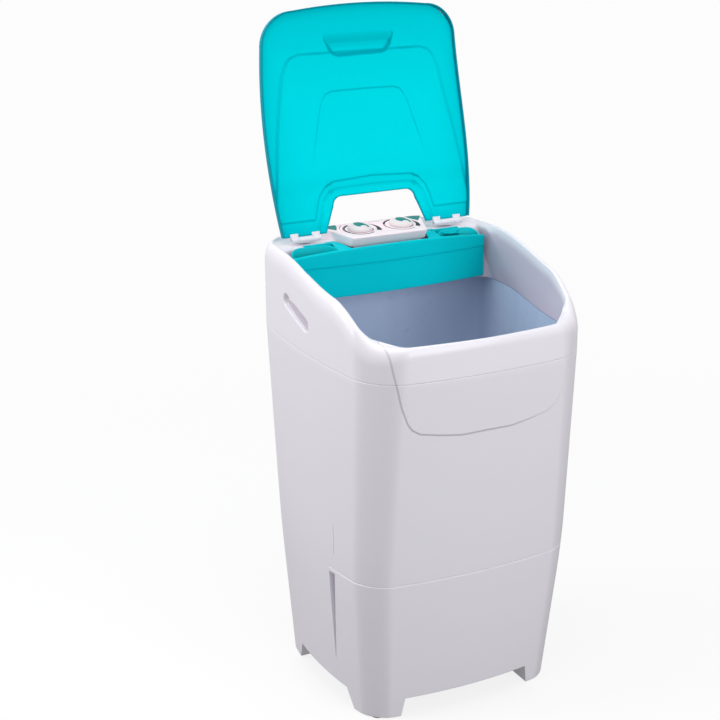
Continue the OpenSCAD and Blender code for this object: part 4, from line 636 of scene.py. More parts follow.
def build_cabinet(s):
    """Cabinet shell: body rings stacked by height, with a groove round its front and tapering side recesses.

    A thin line above each recess is cut to line_depth sqrt(1 - (z - line_low) / line_length).
    """
    arc, front, ahead, behind = 26, 84, 18, 46
    edge_steps = 11
    side = ahead + behind + edge_steps
    table = ring_table(arc, 60, side, front)
    top, waist = s["seam_z"], s["waist_z"]
    wedge_top, wedge_low, wedge_depth = waist - 9, 100.0, 9.0
    line_low, line_length, line_depth = 350, 66, 0.9
    groove_depth = 1.5
    z = np.unique(np.concatenate([
        s["skirt_z"] + np.array([0, 0.3, 1.0, 2.0, 4.0]), np.linspace(52, 92, 6),
        wedge_low + np.array([-3, 0, 3, 7, 12, 18]), np.linspace(124, 290, 24),
        wedge_top + np.array([-8, -3, -0.9, -0.5, -0.1, 0.4, 1.2]),
        waist + np.array([-5, -3, -1.8, -1.3, -0.9, -0.5, 0, 0.5, 0.9, 1.3, 1.8, 3, 5]),
        np.linspace(322, 728, 74),
        top + np.array([-6, -3, -1.6, -0.9, -0.4, 0])]))
    _, b, r, shift = body_sizes(z, s)
    share = np.broadcast_to(table["f"], (len(z), len(table["f"]))).copy()
    reach = b - r
    t = np.clip((z - wedge_low) / (wedge_top - wedge_low), 0, 1)
    front_edge, rear_edge = mix(-86.7, -114, t), mix(-85.3, -92, t)
    offsets = [(0, -1.2), (0, -0.4), (0, 0.0), (0, 0.4), (0.25, 0), (0.5, 0), (0.75, 0),
               (1, -0.4), (1, 0.0), (1, 0.4), (1, 1.2)]
    cuts = np.array([0, 0, 0.07, 1, 1, 1, 1, 1, 0.07, 0, 0])
    places = [mix(front_edge, rear_edge, k) + d for k, d in offsets]
    low, high = shift - reach, shift + reach
    ahead_y = [mix(low, places[0], k / ahead) for k in range(1, ahead)]
    behind_y = [mix(places[-1], high, k / (behind + 1)) for k in range(1, behind + 1)]
    ys = np.stack(ahead_y + places + behind_y, axis=1)[:, :side - 1]
    right = (ys - low[:, None]) / (high - low)[:, None]
    columns = {c: np.flatnonzero((table["i"] == c) & (table["f"] > 0)) for c in range(4)}
    share[:, columns[3]] = right
    share[:, columns[1]] = (1 - right)[:, ::-1]
    x, y = body_ring(table, z, s, share)
    nx, ny = inward(x, y)
    groove = np.maximum(0, groove_depth - np.abs(z - waist))[:, None] * smooth((-85 - y) / 8)
    inside = smooth((z - wedge_low) / 12) * np.where(z > wedge_top - 0.3, 0, 1)
    depth = np.zeros_like(x)
    start = ahead - 1
    block = wedge_depth * cuts[None, :] * inside[:, None]
    depth[:, columns[3][start:start + edge_steps]] = block
    depth[:, columns[1][::-1][start:start + edge_steps]] = block
    taper = np.sqrt(1 - np.clip((z - line_low) / line_length, 0, 1))
    line = line_depth * smooth((z - line_low + 4) / 6) * taper
    for thin in (columns[3][start + 1:start + 3], columns[1][::-1][start + 1:start + 3]):
        depth[:, thin] += line[:, None]
    in_gap = (np.abs(x) < s["leg_gap_x"] / 2) | (np.abs(y - LEG_MIDDLE) < s["leg_gap_y"] / 2)
    lower = np.interp(z, s["skirt_z"] + np.array([0, 0.3, 1.0, 2.0]), [1.6, 0.8, 0.2, 0])[:, None] * in_gap
    upper = np.interp(z, top + np.array([-1.6, -0.9, -0.4, 0]), [0, 0.12, 0.4, 1.1])[:, None]
    inset = groove + depth + lower + upper
    outer = np.stack([x + inset * nx, y + inset * ny, np.broadcast_to(z[:, None], x.shape)], axis=-1)

    def inner(height, d):
        """Ring at a height, set in by d from the nearest outer ring."""
        k = np.argmin(np.abs(z - height))
        return np.stack([x[k] + d * nx[k], y[k] + d * ny[k], np.full(x.shape[1], float(height))], axis=-1)

    hidden = s["wall"] + 9.5
    rows = list(outer) + [inner(top, 12), inner(top - 3, 12), inner(top - 3, s["wall"]),
                          inner(waist + 20, s["wall"]), inner(waist, hidden), inner(92, hidden),
                          inner(80, s["wall"]), inner(s["skirt_z"], s["wall"])]
    grid = np.stack(rows)
    # Painted shade in the side recesses and the thin line above each, kept in the inner layer
    shade = np.zeros(grid.shape[:2])
    shade[:len(z)] = np.clip(depth / wedge_depth, 0, 1) * 0.45 + (z > waist)[:, None] * depth * 0.5
    layers = {"apron": apron_distance(grid), "inner": shade}
    piece = rings_piece("cabinet_shell", grid, "body", white_finish(), "white_plastic", wrap=True, sharp=50,
                        layers=layers)
    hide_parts("cabinet")


def build_feet(s):
    """Four corner legs: each outline follows the body's corner and two leaning inner faces.

    The inner faces stand at half the gap plus slant (skirt - z) / (skirt + 1).
    """
    slant_x, slant_y = 7.3, 22
    z = np.array([s["leg_z"], s["leg_z"] + 0.5, s["leg_z"] + 1.4, 8, 14, 20, 26, 32, 38, s["skirt_z"]])
    a, b, r, shift = body_sizes(z, s)
    drop = (s["skirt_z"] - z) / (s["skirt_z"] + 1)
    gap_x, gap_y = s["leg_gap_x"] / 2 + slant_x * drop, s["leg_gap_y"] / 2 + slant_y * drop
    for sx in (-1, 1):
        for sy in (-1, 1):
            flat_x = [mix(gap_x, a - r, k / 6) for k in range(6)]
            flat_y = [b + 0 * z] * 6
            for k in range(19):
                angle = math.radians(90 - 5 * k)
                flat_x.append(a - r + r * math.cos(angle))
                flat_y.append(b - r + r * math.sin(angle))
            end = (LEG_MIDDLE + sy * gap_y - shift) * sy
            for k in range(1, 7):
                flat_x.append(a + 0 * z)
                flat_y.append(mix(b - r, end, k / 6))
            fx, fy = np.stack(flat_x, axis=1), np.stack(flat_y, axis=1) * sy
            x, y = bowed_body(fx, fy, a[:, None], b[:, None], shift[:, None], s)
            inner = np.linspace(0, 1, 9)[1:-1]
            x_in = np.concatenate([mix(x[:, -1:], gap_x[:, None], inner), gap_x[:, None]], axis=1)
            y_in = np.broadcast_to(y[:, -1:], x_in.shape)
            y_up = mix(y[:, -1:], y[:, :1], inner)
            x = np.concatenate([x, x_in, np.broadcast_to(gap_x[:, None], y_up.shape)], axis=1)
            y = np.concatenate([y, y_in, y_up], axis=1)
            edge = np.interp(z, s["leg_z"] + np.array([0, 0.5, 1.4]), [1.3, 0.4, 0])[:, None]
            mx, my = x.mean(1, keepdims=True), y.mean(1, keepdims=True)
            away = np.maximum(np.hypot(x - mx, y - my), 1e-6)
            x, y = x - (x - mx) / away * edge, y - (y - my) / away * edge
            rows = [np.stack([sx * x[k], y[k], np.full(x.shape[1], z[k])], axis=-1) for k in range(len(z))]
            centre = rows[-1].mean(0)
            rows.append(centre + (rows[-1] - centre) * np.array([0.96, 0.96, 1]))
            rows.append(rows[-1] + np.array([0, 0, 14.0]))
            name = "leg_%s_%s" % (SIDE_NAMES[sx], "front" if sy < 0 else "rear")
            grid = np.stack(with_poles(rows))
            rings_piece(name, grid, "body", white_finish(), "white_plastic", sharp=35,
                        layers={"apron": np.full(grid.shape[:2], -9.0)})


def build_collar(s):
    """Collar: wall, quarter ellipse to the crest, shoulder, inner wall and lip, with a grip in each side.

    The crest's rounding is p + c (1 - cos a) n at height crest - d (1 - sin a).
    """
    table = ring_table(28, 70, 120, 96)
    x, y = body_ring(table, s["seam_z"], s)
    x, y = x[0], y[0]
    nx, ny = inward(x, y)
    base = s["seam_z"] + 0.3
    top = crest_z(y, s)
    inner_c = crest_blend(y, nx, ny, CREST_IN)
    c = np.maximum(inner_c, 1)
    d = crest_blend(y, nx, ny, CREST_DROP)

    def ring(inset, z, limit=None):
        """Ring at the heights z, set in along the wall's normal and kept in front of the limit."""
        py = y + inset * ny
        return np.stack([x + inset * nx, py if limit is None else np.minimum(py, limit), z + 0 * x], axis=-1)

    wall_z = top - d
    axis = GRIP_Z + (np.clip(y, -60, 120) - GRIP_Y) * GRIP_RISE / GRIP_RUN
    near = smooth((y + 130) / 60) * (1 - smooth((y - 130) / 50))
    low_rows = [mix(base + 1.6, axis - 20, k / 8) for k in range(8)]
    levels = np.concatenate([np.linspace(-20, -9, 9), np.linspace(-6, 6, 4), np.linspace(9, 20, 9)])
    slot_rows = [axis + h for h in levels]
    high_rows = [mix(axis + 20, wall_z, k / 4) for k in range(1, 4)]
    grip_rows = np.stack(low_rows + slot_rows + high_rows)
    count = len(grip_rows)
    even = np.stack([mix(base + 1.6, wall_z, k / count) for k in range(count)])
    wall_rows = mix(even, grip_rows, near)
    tilt = math.atan2(GRIP_RISE, GRIP_RUN)
    ay, az = y[None, :] - GRIP_Y, wall_rows - GRIP_Z
    lengthwise = ay * math.cos(tilt) + az * math.sin(tilt)
    across = -ay * math.sin(tilt) + az * math.cos(tilt)
    half = math.hypot(GRIP_RISE, GRIP_RUN) / 2
    outside = np.hypot(np.maximum(np.abs(lengthwise) - half, 0), across) - GRIP_R
    on_side = np.abs(nx) > 0.85
    depth = GRIP_DEPTH * smooth((0.6 - outside) / 3.2) * on_side
    rows = [ring(1.3, base), ring(0.55, base + 0.15), ring(0.15, base + 0.6)]
    rows += [ring(depth[k], wall_rows[k]) for k in range(count)]
    for share in np.linspace(0, 1, 15):
        a = math.radians(90 * share)
        rows.append(ring(c * (1 - math.cos(a)), top - d * (1 - math.sin(a))))
    crest = len(rows) - 1
    back = y > 0
    shoulder_z = np.where(back, mix(top - 3, s["deck_z"] + 0.5, ny ** 2), top - 2)
    shoulder = ring(inner_c + 4, shoulder_z, s["deck_y"] + 60)
    edge_y = y + (inner_c + 10) * ny
    level = wall_top_z(edge_y, s)
    climb = 24
    edge_z = np.where(edge_y > s["deck_y"] - climb,
                      mix(level, s["deck_z"], smooth((edge_y - s["deck_y"] + climb) / climb)), level)
    edge = ring(inner_c + 10, edge_z, s["deck_y"])
    mx, my = mouth_ring(table, 0, s)
    lip = np.stack([mx, my, lip_z(my, s)], axis=-1)
    gx, gy = mouth_ring(table, s["wall"], s)
    under = np.stack([gx, gy, lip_z(gy, s)], axis=-1)
    steps = 7
    chain = rounded([rows[-1], shoulder, edge, lip, under], [0, 3.0, 9.0, 1.4, 0], steps)
    split = 1 + 2 * steps
    wall_part = [mix(chain[split - 1], chain[split], k / 12) for k in range(1, 12)]
    rows += chain[1:split] + wall_part + chain[split:]
    t = s["wall"]
    rows.append(ring(inner_c + 10 - t, edge_z - t, s["deck_y"] + t))
    rows.append(ring(inner_c + 4, shoulder[:, 2] - t, s["deck_y"] + 60 + t))
    for share in (1, 0.6, 0.3, 0):
        a = math.radians(90 * share)
        behind_grip = (GRIP_DEPTH + 0.5) * on_side * (share == 0)
        rows.append(ring(t + (np.maximum(c, t + 1) - t) * (1 - math.cos(a)) + behind_grip,
                         top - d * (1 - math.sin(a)) - t * math.sin(a)))
    rows.append(ring(t, base))
    grid = np.stack(rows)
    layers = {"apron": apron_distance(grid), "inner": inner_shade_share(grid, crest)}
    piece = rings_piece("collar_shell", grid, "body", white_finish(), "white_plastic", wrap=True, sharp=60,
                        layers=layers)
    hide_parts("collar")


def plain_white():
    """White plastic for small pieces without the shell's own layers."""
    if "small_white" in bpy.data.materials:
        return bpy.data.materials["small_white"]
    white = bpy.context.scene.washer_colours.white
    return finish("small_white", white, rough=0.38, spread=0.03, tone=0.012, coat=0.1)


def inner_shade_share(grid, crest):
    """Share of the inner wall's tint: 0 outside and on the crest, 1 well below it inside, less in front."""
    fall = grid[crest, :, 2][None, :] - grid[:, :, 2]
    share = smooth((fall - 3) / 20) * (np.arange(len(grid))[:, None] > crest)
    return share * np.where(grid[..., 1] < -225, 0.35, 1.0)


# Tub's outline at its bend and at its lip: half width, reach and radius at the rear, then at the front
TUB_BEND = (212, 200, 90, 204, -235, 90)
TUB_LIP = (242.5, 215, 60, 208.6, -258.6, 70)


def build_tub(s):
    """Wash tub: rings from a dished floor up to the lip, back down outside and closed under the floor."""
    colours = bpy.context.scene.washer_colours
    table = ring_table(20, 48, 56, 48)
    bend_z = 475

    def ring(share, inset, z=None):
        """Ring at a share of the way from bend to lip, set in along its normal."""
        x, y = corner_ring(table, *[mix(low, high, share) for low, high in zip(TUB_BEND, TUB_LIP)])
        x, y = bowed_mouth(x[0], y[0], share, s)
        nx, ny = inward(x, y)
        level = mix(bend_z, lip_z(y, s) - 0.6, share) if z is None else z + 0 * x
        return np.stack([x + inset * nx, y + inset * ny, level], axis=-1)

    floor = s["tub_floor_z"]
    low = ring(0, 34, floor)
    centre = low.mean(0)
    rows = [centre + (low - centre) * k for k in np.linspace(0, 1, 9)]
    bend = [low, ring(0, 18, floor + 2), ring(0, 6, floor + 8), ring(0, 0, bend_z), ring(0.1, 0)]
    rows += rounded(bend, [0, 12, 10, 8, 0], 5)[1:]
    rows += [ring(k, 0) for k in np.linspace(0.15, 1, 20)]
    rows += [ring(1, -3)] + [ring(k, -3) for k in np.linspace(0.9, 0, 8)]
    rows += [ring(0, 4, floor + 5), ring(0, 20, floor - 3), ring(0, 34, floor - 4)]
    rows += [centre + (ring(0, 34, floor - 4) - centre) * np.array([k, k, 1]) for k in (0.6, 0.3, 0)]

    def tint(tree, result):
        """Darker toward the right, with pale upright streaks."""
        x = place_xyz(tree)[0]
        wave = tree.nodes.new("ShaderNodeTexNoise")
        wave.inputs["Scale"].default_value = 1.0
        wave.inputs["Detail"].default_value = 1.5
        place = tree.nodes.new("ShaderNodeTexCoord")
        squeeze = tree.nodes.new("ShaderNodeMapping")
        squeeze.inputs["Scale"].default_value = (14.0, 14.0, 1.2)
        tree.links.new(place.outputs["Object"], squeeze.inputs["Vector"])
        tree.links.new(squeeze.outputs["Vector"], wave.inputs["Vector"])
        streak = ranged(tree, wave.outputs["Fac"], 0.42, 0.7)
        # Painted shade toward the right
        toward_right = times(tree, ranged(tree, x, -0.02, 0.2), 0.5)
        result = mixed(tree, toward_right, result, shaded(colours.tub, 0.5, 0.52, 0.6))
        return mixed(tree, times(tree, streak, 0.16), result, (0.72, 0.78, 0.88))

    material = finish("tub_moulding", colours.tub, rough=0.35, tone=0.03, depth=0.00003, tint=tint)
    piece = rings_piece("tub_shell", rows, "body", material, "tub_plastic", sharp=50)
    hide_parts("tub")


# Lid formulas

# Radius of the lid's free corners across, and how far before the free edge they begin
LID_CORNER = 70
LID_TURN = 80
# Moulded outlines of the inner face as (across, away from the hinge); all but the dip's are mirrored
HINGE_PANEL = ((0, 115), (90, 110), (108, 102), (124, 84), (131, 64), (136, 45), (139, 36), (232, 36))
HINGE_RIB = ((133, 0), (131, 20), (122, 50), (116, 70), (102, 88), (84, 94), (0, 96))
OUTER_STEP = ((222, 30), (220, 63), (201, 203), (177, 328), (168, 350), (158, 362), (140, 368), (0, 368))
MIDDLE_STEP = ((130, 150), (118, 200), (101, 262), (93, 279), (86, 288), (72, 293), (0, 294))
HANDLE_DIP = ((-80, 396), (-74, 384), (-62, 366), (-50, 362), (48, 364), (60, 367), (72, 382), (77, 396))
NOTCH = ((222, 6), (116, 6), (100, 50), (96, 58), (93, 69), (86, 76), (76, 78), (0, 78))


def lid_half(v, s):
    """Half width of the lid at v: lid_x + swell sin(180 (v / l)^0.8)."""
    return s["lid_x"] + s["lid_swell"] * np.sin(np.pi * np.maximum(v / s["lid_l"], 0) ** 0.8)


def lid_sag(v, s):
    """Rise of the lid's skin at v: dome sin(180 (v / l)^1.6)."""
    return s["lid_dome"] * np.sin(np.pi * np.clip(v / s["lid_l"], 0, 1) ** 1.6)


def lid_end(u, s):
    """Free edge of the lid at u: l - 12 (u / 177)^2."""
    return s["lid_l"] - 12 * (u / 177) ** 2


def lid_world(u, v, w, s):
    """Lid coordinates to the world: across, away from the hinge and outwards, with the lid leaning back."""
    return np.stack([u, s["hinge_y"] + v * math.sin(LID_LEAN) + w * math.cos(LID_LEAN),
                     s["hinge_z"] + v * math.cos(LID_LEAN) - w * math.sin(LID_LEAN)], axis=-1)


def notch_v(u):
    """Lower edge of the lid at u: the hinge edge outside the notch, and the notch's outline inside it."""
    a = np.abs(u)
    arc = 58 + np.sqrt(np.maximum(0, 400 - (np.maximum(a, 76) - 76) ** 2))
    slope = np.interp(a, [96, 100, 116], [58, 50, 9.8])
    return np.where(a > 116, 5.8, np.where(a > 96, slope, arc))


def lid_relief(u, v):
    """Height of the lid's inner face above its skin, from the distances to its moulded outlines.

    Each outline is a step, height smooth(0.5 + distance / width), positive inside; the rib is a groove.
    """
    a = np.abs(u)

    def step(across, points, inside):
        """Signed distance to an outline, positive where inside is true."""
        return np.where(inside, 1, -1) * outline_distance(across, v, points)

    def within(points):
        """Whether a point lies on the hinge's side of an outline and between its flanks."""
        sideways = [(far, near) for near, far in points[:-1]]
        return (v < sideways[-1][0]) & (a < along(v, sideways))

    hinge = step(a, HINGE_PANEL, v > along(a, HINGE_PANEL))
    height = 1.4 * smooth(0.5 + hinge / 4)
    height = height - 1.0 * np.exp(-(outline_distance(a, v, HINGE_RIB) / 2.2) ** 2)
    height = height + 2.6 * smooth(0.5 + (step(a, OUTER_STEP, within(OUTER_STEP)) + 3) / 9)
    fade = smooth((v - 120) / 90)
    height = height - 1.2 * smooth(0.5 + step(a, MIDDLE_STEP, within(MIDDLE_STEP)) / 4) * fade
    dip = step(u, HANDLE_DIP, v > along(u, HANDLE_DIP, 1e6))
    open_end = 1 - smooth((v - 372) / 42)
    return height - 7.0 * smooth(0.2 + dip / 7) * open_end


def build_lid(s):
    """Lid: domed skin with a notch round the controls, moulded relief inside and a rim round its free edges.

    Columns hold a share of the half width; rows run from the notch or hinge edge to the free edge.
    """
    colours = bpy.context.scene.washer_colours
    start = s["lid_l"] - LID_TURN
    width = lid_half(np.array([start]), s)[0]
    corner_u = width - LID_CORNER
    arc = 1 - LID_CORNER / width * (1 - np.cos(np.radians(np.linspace(0, 90, 22))))
    middle = np.concatenate([np.linspace(arc[-1], 120 / width, 16), np.linspace(118 / width, 0.33, 34),
                             np.linspace(0.31, 0, 20)])
    half = np.unique(np.round(np.concatenate([arc, middle]), 6))
    share = np.concatenate([-half[::-1], half[1:]])
    low = np.full(share.shape, 40.0)
    for _ in range(8):
        low = notch_v(share * lid_half(low, s))
    u_top = np.abs(share) * width
    turn = np.sqrt(np.maximum(0, 1 - ((u_top - corner_u) / LID_CORNER) ** 2))
    high = np.where(u_top < corner_u, lid_end(u_top, s), start + (lid_end(corner_u, s) - start) * turn)
    rows = 250
    t = np.linspace(0, 1, rows)[:, None]
    v = mix(low[None, :] + 0.4, high[None, :] - 1.6, t)
    u = share[None, :] * (lid_half(v, s) - 1.6)
    sag = lid_sag(v, s)
    relief = lid_relief(u, v)
    lift = 2.4 * (1 - smooth((v - 84) / 40))
    face = lid_world(u, v, 2.6 + sag - relief + lift, s)
    back = lid_world(u, v, 4.4 + sag + 1.0, s)
    across = np.gradient(relief, axis=1) / np.gradient(u, axis=1)
    onward = np.gradient(relief, axis=0) / np.gradient(v, axis=0)
    # Mask of painted shade along the relief's steps and along the lid's edges
    steep = smooth((np.hypot(across, onward) - 0.06) / 0.5)
    border = np.minimum(outline_distance(np.abs(u), v, NOTCH), high[None, :] - v)
    border = np.minimum(border, lid_half(v, s) - np.abs(u))
    crease_shade = np.maximum(0.8 * steep, 1.0 - smooth((border - 0.8) / 3.4))
    piece = sheet_piece("lid_skin", face, back, "lid", lid_material(colours), "teal_clear", sharp=50,
                        layers={"crease_shade": crease_shade})
    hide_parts("lid")
    # The rim's finish is the lid's teal darkened, as painted shade on its rounded edge
    edge = finish("teal_lid_shaded_edge", shaded(colours.lid, 1.0, 0.40, 0.46), rough=0.42, spread=0.02, tone=0.02,
                  depth=0.00001, shine=0.05)
    build_lid_rim(s, edge, corner_u, start)
    build_lid_knuckles(s)


def lid_material(colours):
    """Teal moulding of the lid, deeper towards its edges and its hinge and along its moulded steps."""
    deep = shaded(colours.lid, 1.0, 0.82, 0.84)

    def tint(tree, result):
        """Deeper toward the free edges, darker near the hinge and darkest along the steps."""
        x, _, z = place_xyz(tree)
        top = ranged(tree, z, 1.15, 1.40)
        side = ranged(tree, maths(tree, "ABSOLUTE", x), 0.15, 0.235)
        result = mixed(tree, times(tree, maths(tree, "MAXIMUM", top, side), 0.6), result, deep)
        # Painted shade where the lid's foot meets the deck at the hinge
        hinge_shade = times(tree, ranged(tree, z, 0.915, 0.955, 1.0, 0.0), 0.45)
        result = mixed(tree, hinge_shade, result, shaded(colours.lid, 1.0, 0.50, 0.56))
        # Painted shade along the steps and edges
        crease_shade = times(tree, attribute(tree, "crease_shade"), 0.85)
        return mixed(tree, crease_shade, result, shaded(colours.lid, 1.0, 0.34, 0.40))

    return finish("teal_lid", colours.lid, rough=0.42, shine=0.0, tint=tint, **MOULDED)


def build_lid_rim(s, material, corner_u, start):
    """Rim round the lid's free edges: a rounded bar swept along the outline.

    The corner is an ellipse about (corner_u, start).
    """
    vs = np.linspace(7, start, 60)
    side = np.stack([lid_half(vs, s), vs], axis=-1)
    angle = np.radians(np.linspace(0, 90, 30))[1:]
    beyond = lid_end(corner_u, s) - start
    turn = np.stack([corner_u + LID_CORNER * np.cos(angle), start + beyond * np.sin(angle)], axis=-1)
    us = np.linspace(corner_u, 0, 40)[1:]
    end = np.stack([us, lid_end(us, s)], axis=-1)
    right = np.concatenate([side, turn, end])
    path = np.concatenate([right, (right * [-1, 1])[-2::-1]])
    tangent = np.gradient(path, axis=0)
    tangent /= np.linalg.norm(tangent, axis=1, keepdims=True)
    normal = np.stack([tangent[:, 1], -tangent[:, 0]], axis=-1)
    corner = np.radians(np.arange(0, 360, 15))
    px = np.sign(np.cos(corner)) * 0.6 + 0.95 * np.cos(corner) - 1.56
    pw = np.where(np.sin(corner) > 0, 4.2, -6.0) + 0.95 * np.sin(corner)
    u = path[:, 0, None] + normal[:, 0, None] * px
    v = path[:, 1, None] + normal[:, 1, None] * px
    w = lid_sag(v, s) + pw
    rows = lid_world(u, v, w, s)
    rings_piece("lid_rim", with_poles(rows), "lid", material, "teal_clear", sharp=60)


def build_lid_knuckles(s):
    """Hinge knuckles: barrels with a rounded edge and a bore, and a tongue that joins each to the skin."""
    material = plain_white()
    for k, (x0, x1) in enumerate(((132.7, 150.7), (181.3, 199.3), (-150.7, -132.7), (-199.3, -181.3))):
        a = np.radians(np.arange(0, 360, 7.5))
        rows = []
        left = [(x0, 3.05), (x0, 5.4), (x0 + 0.3, 5.9), (x0 + 0.9, 6.2)]
        right = [(x1 - 0.9, 6.2), (x1 - 0.3, 5.9), (x1, 5.4), (x1, 3.05)]
        for x, r in left + right:
            rows.append(lid_world(np.full(a.shape, x), r * np.cos(a), r * np.sin(a), s))
        rings_piece("lid_knuckle_%d" % k, np.stack(rows), "lid", material, "white_plastic", wrap=True)
        shape = np.radians(np.arange(0, 360, 15))
        su = (x0 + x1) / 2 + squared(np.cos(shape), 0.35) * (x1 - x0) / 2
        sw = 2.6 + squared(np.sin(shape), 0.35) * 1.7
        tongue = [lid_world(su, np.full(su.shape, v), sw, s) for v in (2.0, 5.0, 9.0, 13.0)]
        rings_piece("lid_tongue_%d" % k, with_poles(tongue), "lid", material, "white_plastic")


# Tray formulas

# How far the tray's top and the pockets' rims fall toward the tray's ends
TRAY_FALL = 12
# Right corner between a pocket and the panel, as (x, y)
WING = ((119.6, 108.5), (119.6, 151.0), (120.5, 156.0), (128.0, 166.0), (124.0, 171.0), (107.0, 172.0),
        (103.5, 166.0), (98.0, 147.0), (91.5, 126.0), (88.5, 116.0), (88.0, 108.5))


def tray_fall(x, s):
    """Fall of the tray's top at x: fall (|x| / x_max)^2.4."""
    return TRAY_FALL * (np.abs(x) / s["tray_x"]) ** 2.4


def build_tray(s):
    """Front of the dispenser tray, with a proud upper band, then its pockets and wings.

    The front stands at front + bow (x / x_max)^2. The points of its section are depths behind it,
    with heights reckoned from the bottom, the band or the top.
    """
    material = teal_finish()
    even = np.linspace(-1, 1, 221)
    x = s["tray_x"] * np.sin(even * np.pi / 2 * 0.999)
    x = mix(x, s["tray_x"] * even, 0.7)
    front = s["tray_front"] + s["tray_bow"] * (x / s["tray_x"]) ** 2
    top = s["tray_top"] + 2.0 - tray_fall(x, s)
    low, band = s["tray_bottom"], s["tray_top"] - 33

    def between(share):
        """Height at a share of the way up the proud band."""
        return mix(band + 2.4, top - 3, share)

    section = [(3.6, low + 0.6), (2.6, low - 0.2), (1.4, low - 0.2), (0.6, low + 0.6), (0.4, low + 2.0)]
    section += [(0.4, low + k) for k in np.linspace(8, 52, 8)]
    section += [(0.4, band - 4.0), (0.35, band - 2.2), (0.0, band - 1.2), (-0.9, band - 0.4)]
    section += [(-1.2, band + 0.8), (-1.3, band + 2.4)]
    section += [(-1.3, between(k)) for k in np.linspace(0.12, 0.85, 6)]
    section += [(-1.3, top - 3.0), (-1.1, top - 1.6), (-0.4, top - 0.4), (0.6, top + 0.25), (1.8, top + 0.3)]
    section += [(2.9, top - 0.3), (3.6, top - 1.4), (3.7, top - 3.0), (3.7, between(0.5)), (3.7, band)]
    section += [(3.6, low + 40.0), (3.6, low + 10.0)]
    grid = np.stack([np.stack([x, front + depth, z + 0 * x], axis=-1) for depth, z in section], axis=1)
    rings_piece("tray_front", with_poles(grid), "body", material, "teal_plastic", sharp=50)
    for side in (-1, 1):
        build_pocket(s, side)
        build_wing(s, side, material)


def build_wing(s, side, material):
    """Sloping corner of the tray between a pocket and the panel, which climbs to the deck at the back."""
    x, y = np.transpose(WING)
    z = mix(s["tray_top"] - 3.2, s["deck_z"] + 0.9, smooth((y - 108) / 48))
    centre = np.array([x.mean(), y.mean()])
    ring = [np.stack([side * mix(centre[0], x, k), mix(centre[1], y, k), z + drop], axis=-1)
            for k, drop in ((0.97, -0.85), (1.0, -0.55), (1.0, -0.25), (0.985, 0.0), (0.9, 0.1))]
    rings_piece("tray_wing_" + SIDE_NAMES[side], with_poles(ring), "body", material, "teal_plastic")


def build_pocket(s, side):
    """Rounded pocket of the tray: from under its floor up outside, over the rim and down to a dished floor.

    The outline has wide rear corners. The rim climbs from the tray's front edge to the deck's level.
    """
    low, high = 118.0, s["tray_x"] - 6
    table = ring_table(12, 10, 10, 10)
    ends, lean = s["deck_y"] - 6.2, 30 / 106
    floor = s["pocket_z"] + 0.3
    middle_x = (low + high) / 2

    def at(share, inset, drop):
        """Ring at a share of the way from floor to rim, set in and lowered by the drop."""
        level = mix(floor, s["deck_z"], share)
        back = ends - lean * (s["deck_z"] - level) - inset
        front = s["tray_front"] + 6.0 + inset
        hx = (high - low) / 2 - inset
        x, y = corner_ring(table, hx, back, max(6.0, 33 - inset), hx, front, 6.0)
        x, y = x[0], y[0]
        rear = np.clip((y - front) / (back - front), 0, 1)
        y = y + s["tray_bow"] * ((x + middle_x) / s["tray_x"]) ** 2 * (1 - rear)
        rim = mix(s["tray_top"] + 1.5 - tray_fall(x + middle_x, s), s["deck_z"] + 0.6, smooth(rear))
        return np.stack([side * (x + middle_x), y, mix(floor, rim, share) - drop], axis=-1)

    rows = [at(0, 0.0, 3.0)] + [at(k, -0.1, 1.6 * k) for k in np.linspace(0, 1, 6)]
    rows += [at(1, 0.3, 0.5), at(1, 1.3, 0.0), at(1, 2.3, 0.5)]
    rows += [at(k, 2.7, 1.6 * k) for k in np.linspace(1, 0.18, 8)]
    rows += [at(0, 3.4, -4.0), at(0, 5.4, -1.4), at(0, 9.0, 0.0)]
    rows += [rows[-1].mean(0) + (rows[-1] - rows[-1].mean(0)) * k for k in (0.6, 0.3)]
    rings_piece("tray_pocket_" + SIDE_NAMES[side], with_poles(rows), "body", pit_finish(), "teal_plastic",
                sharp=50)


def pit_finish():
    """Teal plastic of the pockets, darker toward their floor."""
    if "teal_pocket" in bpy.data.materials:
        return bpy.data.materials["teal_pocket"]
    teal = bpy.context.scene.washer_colours.teal

    def tint(tree, result):
        """Darker with depth."""
        z = place_xyz(tree)[2]
        return mixed(tree, ranged(tree, z, 0.872, 0.9, 0.8, 0.15), result, shaded(teal, 0.35))

    return finish("teal_pocket", teal, rough=0.45, shine=0.08, tint=tint, **MOULDED)


def teal_finish():
    """Teal moulded plastic of the tray and small pieces, deeper toward the right."""
    if "teal_moulding" in bpy.data.materials:
        return bpy.data.materials["teal_moulding"]
    teal = bpy.context.scene.washer_colours.teal

    def tint(tree, result):
        """Deeper toward the right."""
        side = ranged(tree, place_xyz(tree)[0], 0.05, 0.24)
        return mixed(tree, times(tree, side, 0.6), result, shaded(teal, 0.6))

    return finish("teal_moulding", teal, rough=0.40, shine=0.03, tint=tint, **MOULDED)


def panel_world(u, v, w, s):
    """Panel coordinates to the world: across, back along the face and off it. The face leans forward."""
    return np.stack([u, s["panel_y"] + v * math.cos(PANEL_LEAN) - w * math.sin(PANEL_LEAN),
                     s["panel_z"] + v * math.sin(PANEL_LEAN) + w * math.cos(PANEL_LEAN)], axis=-1)


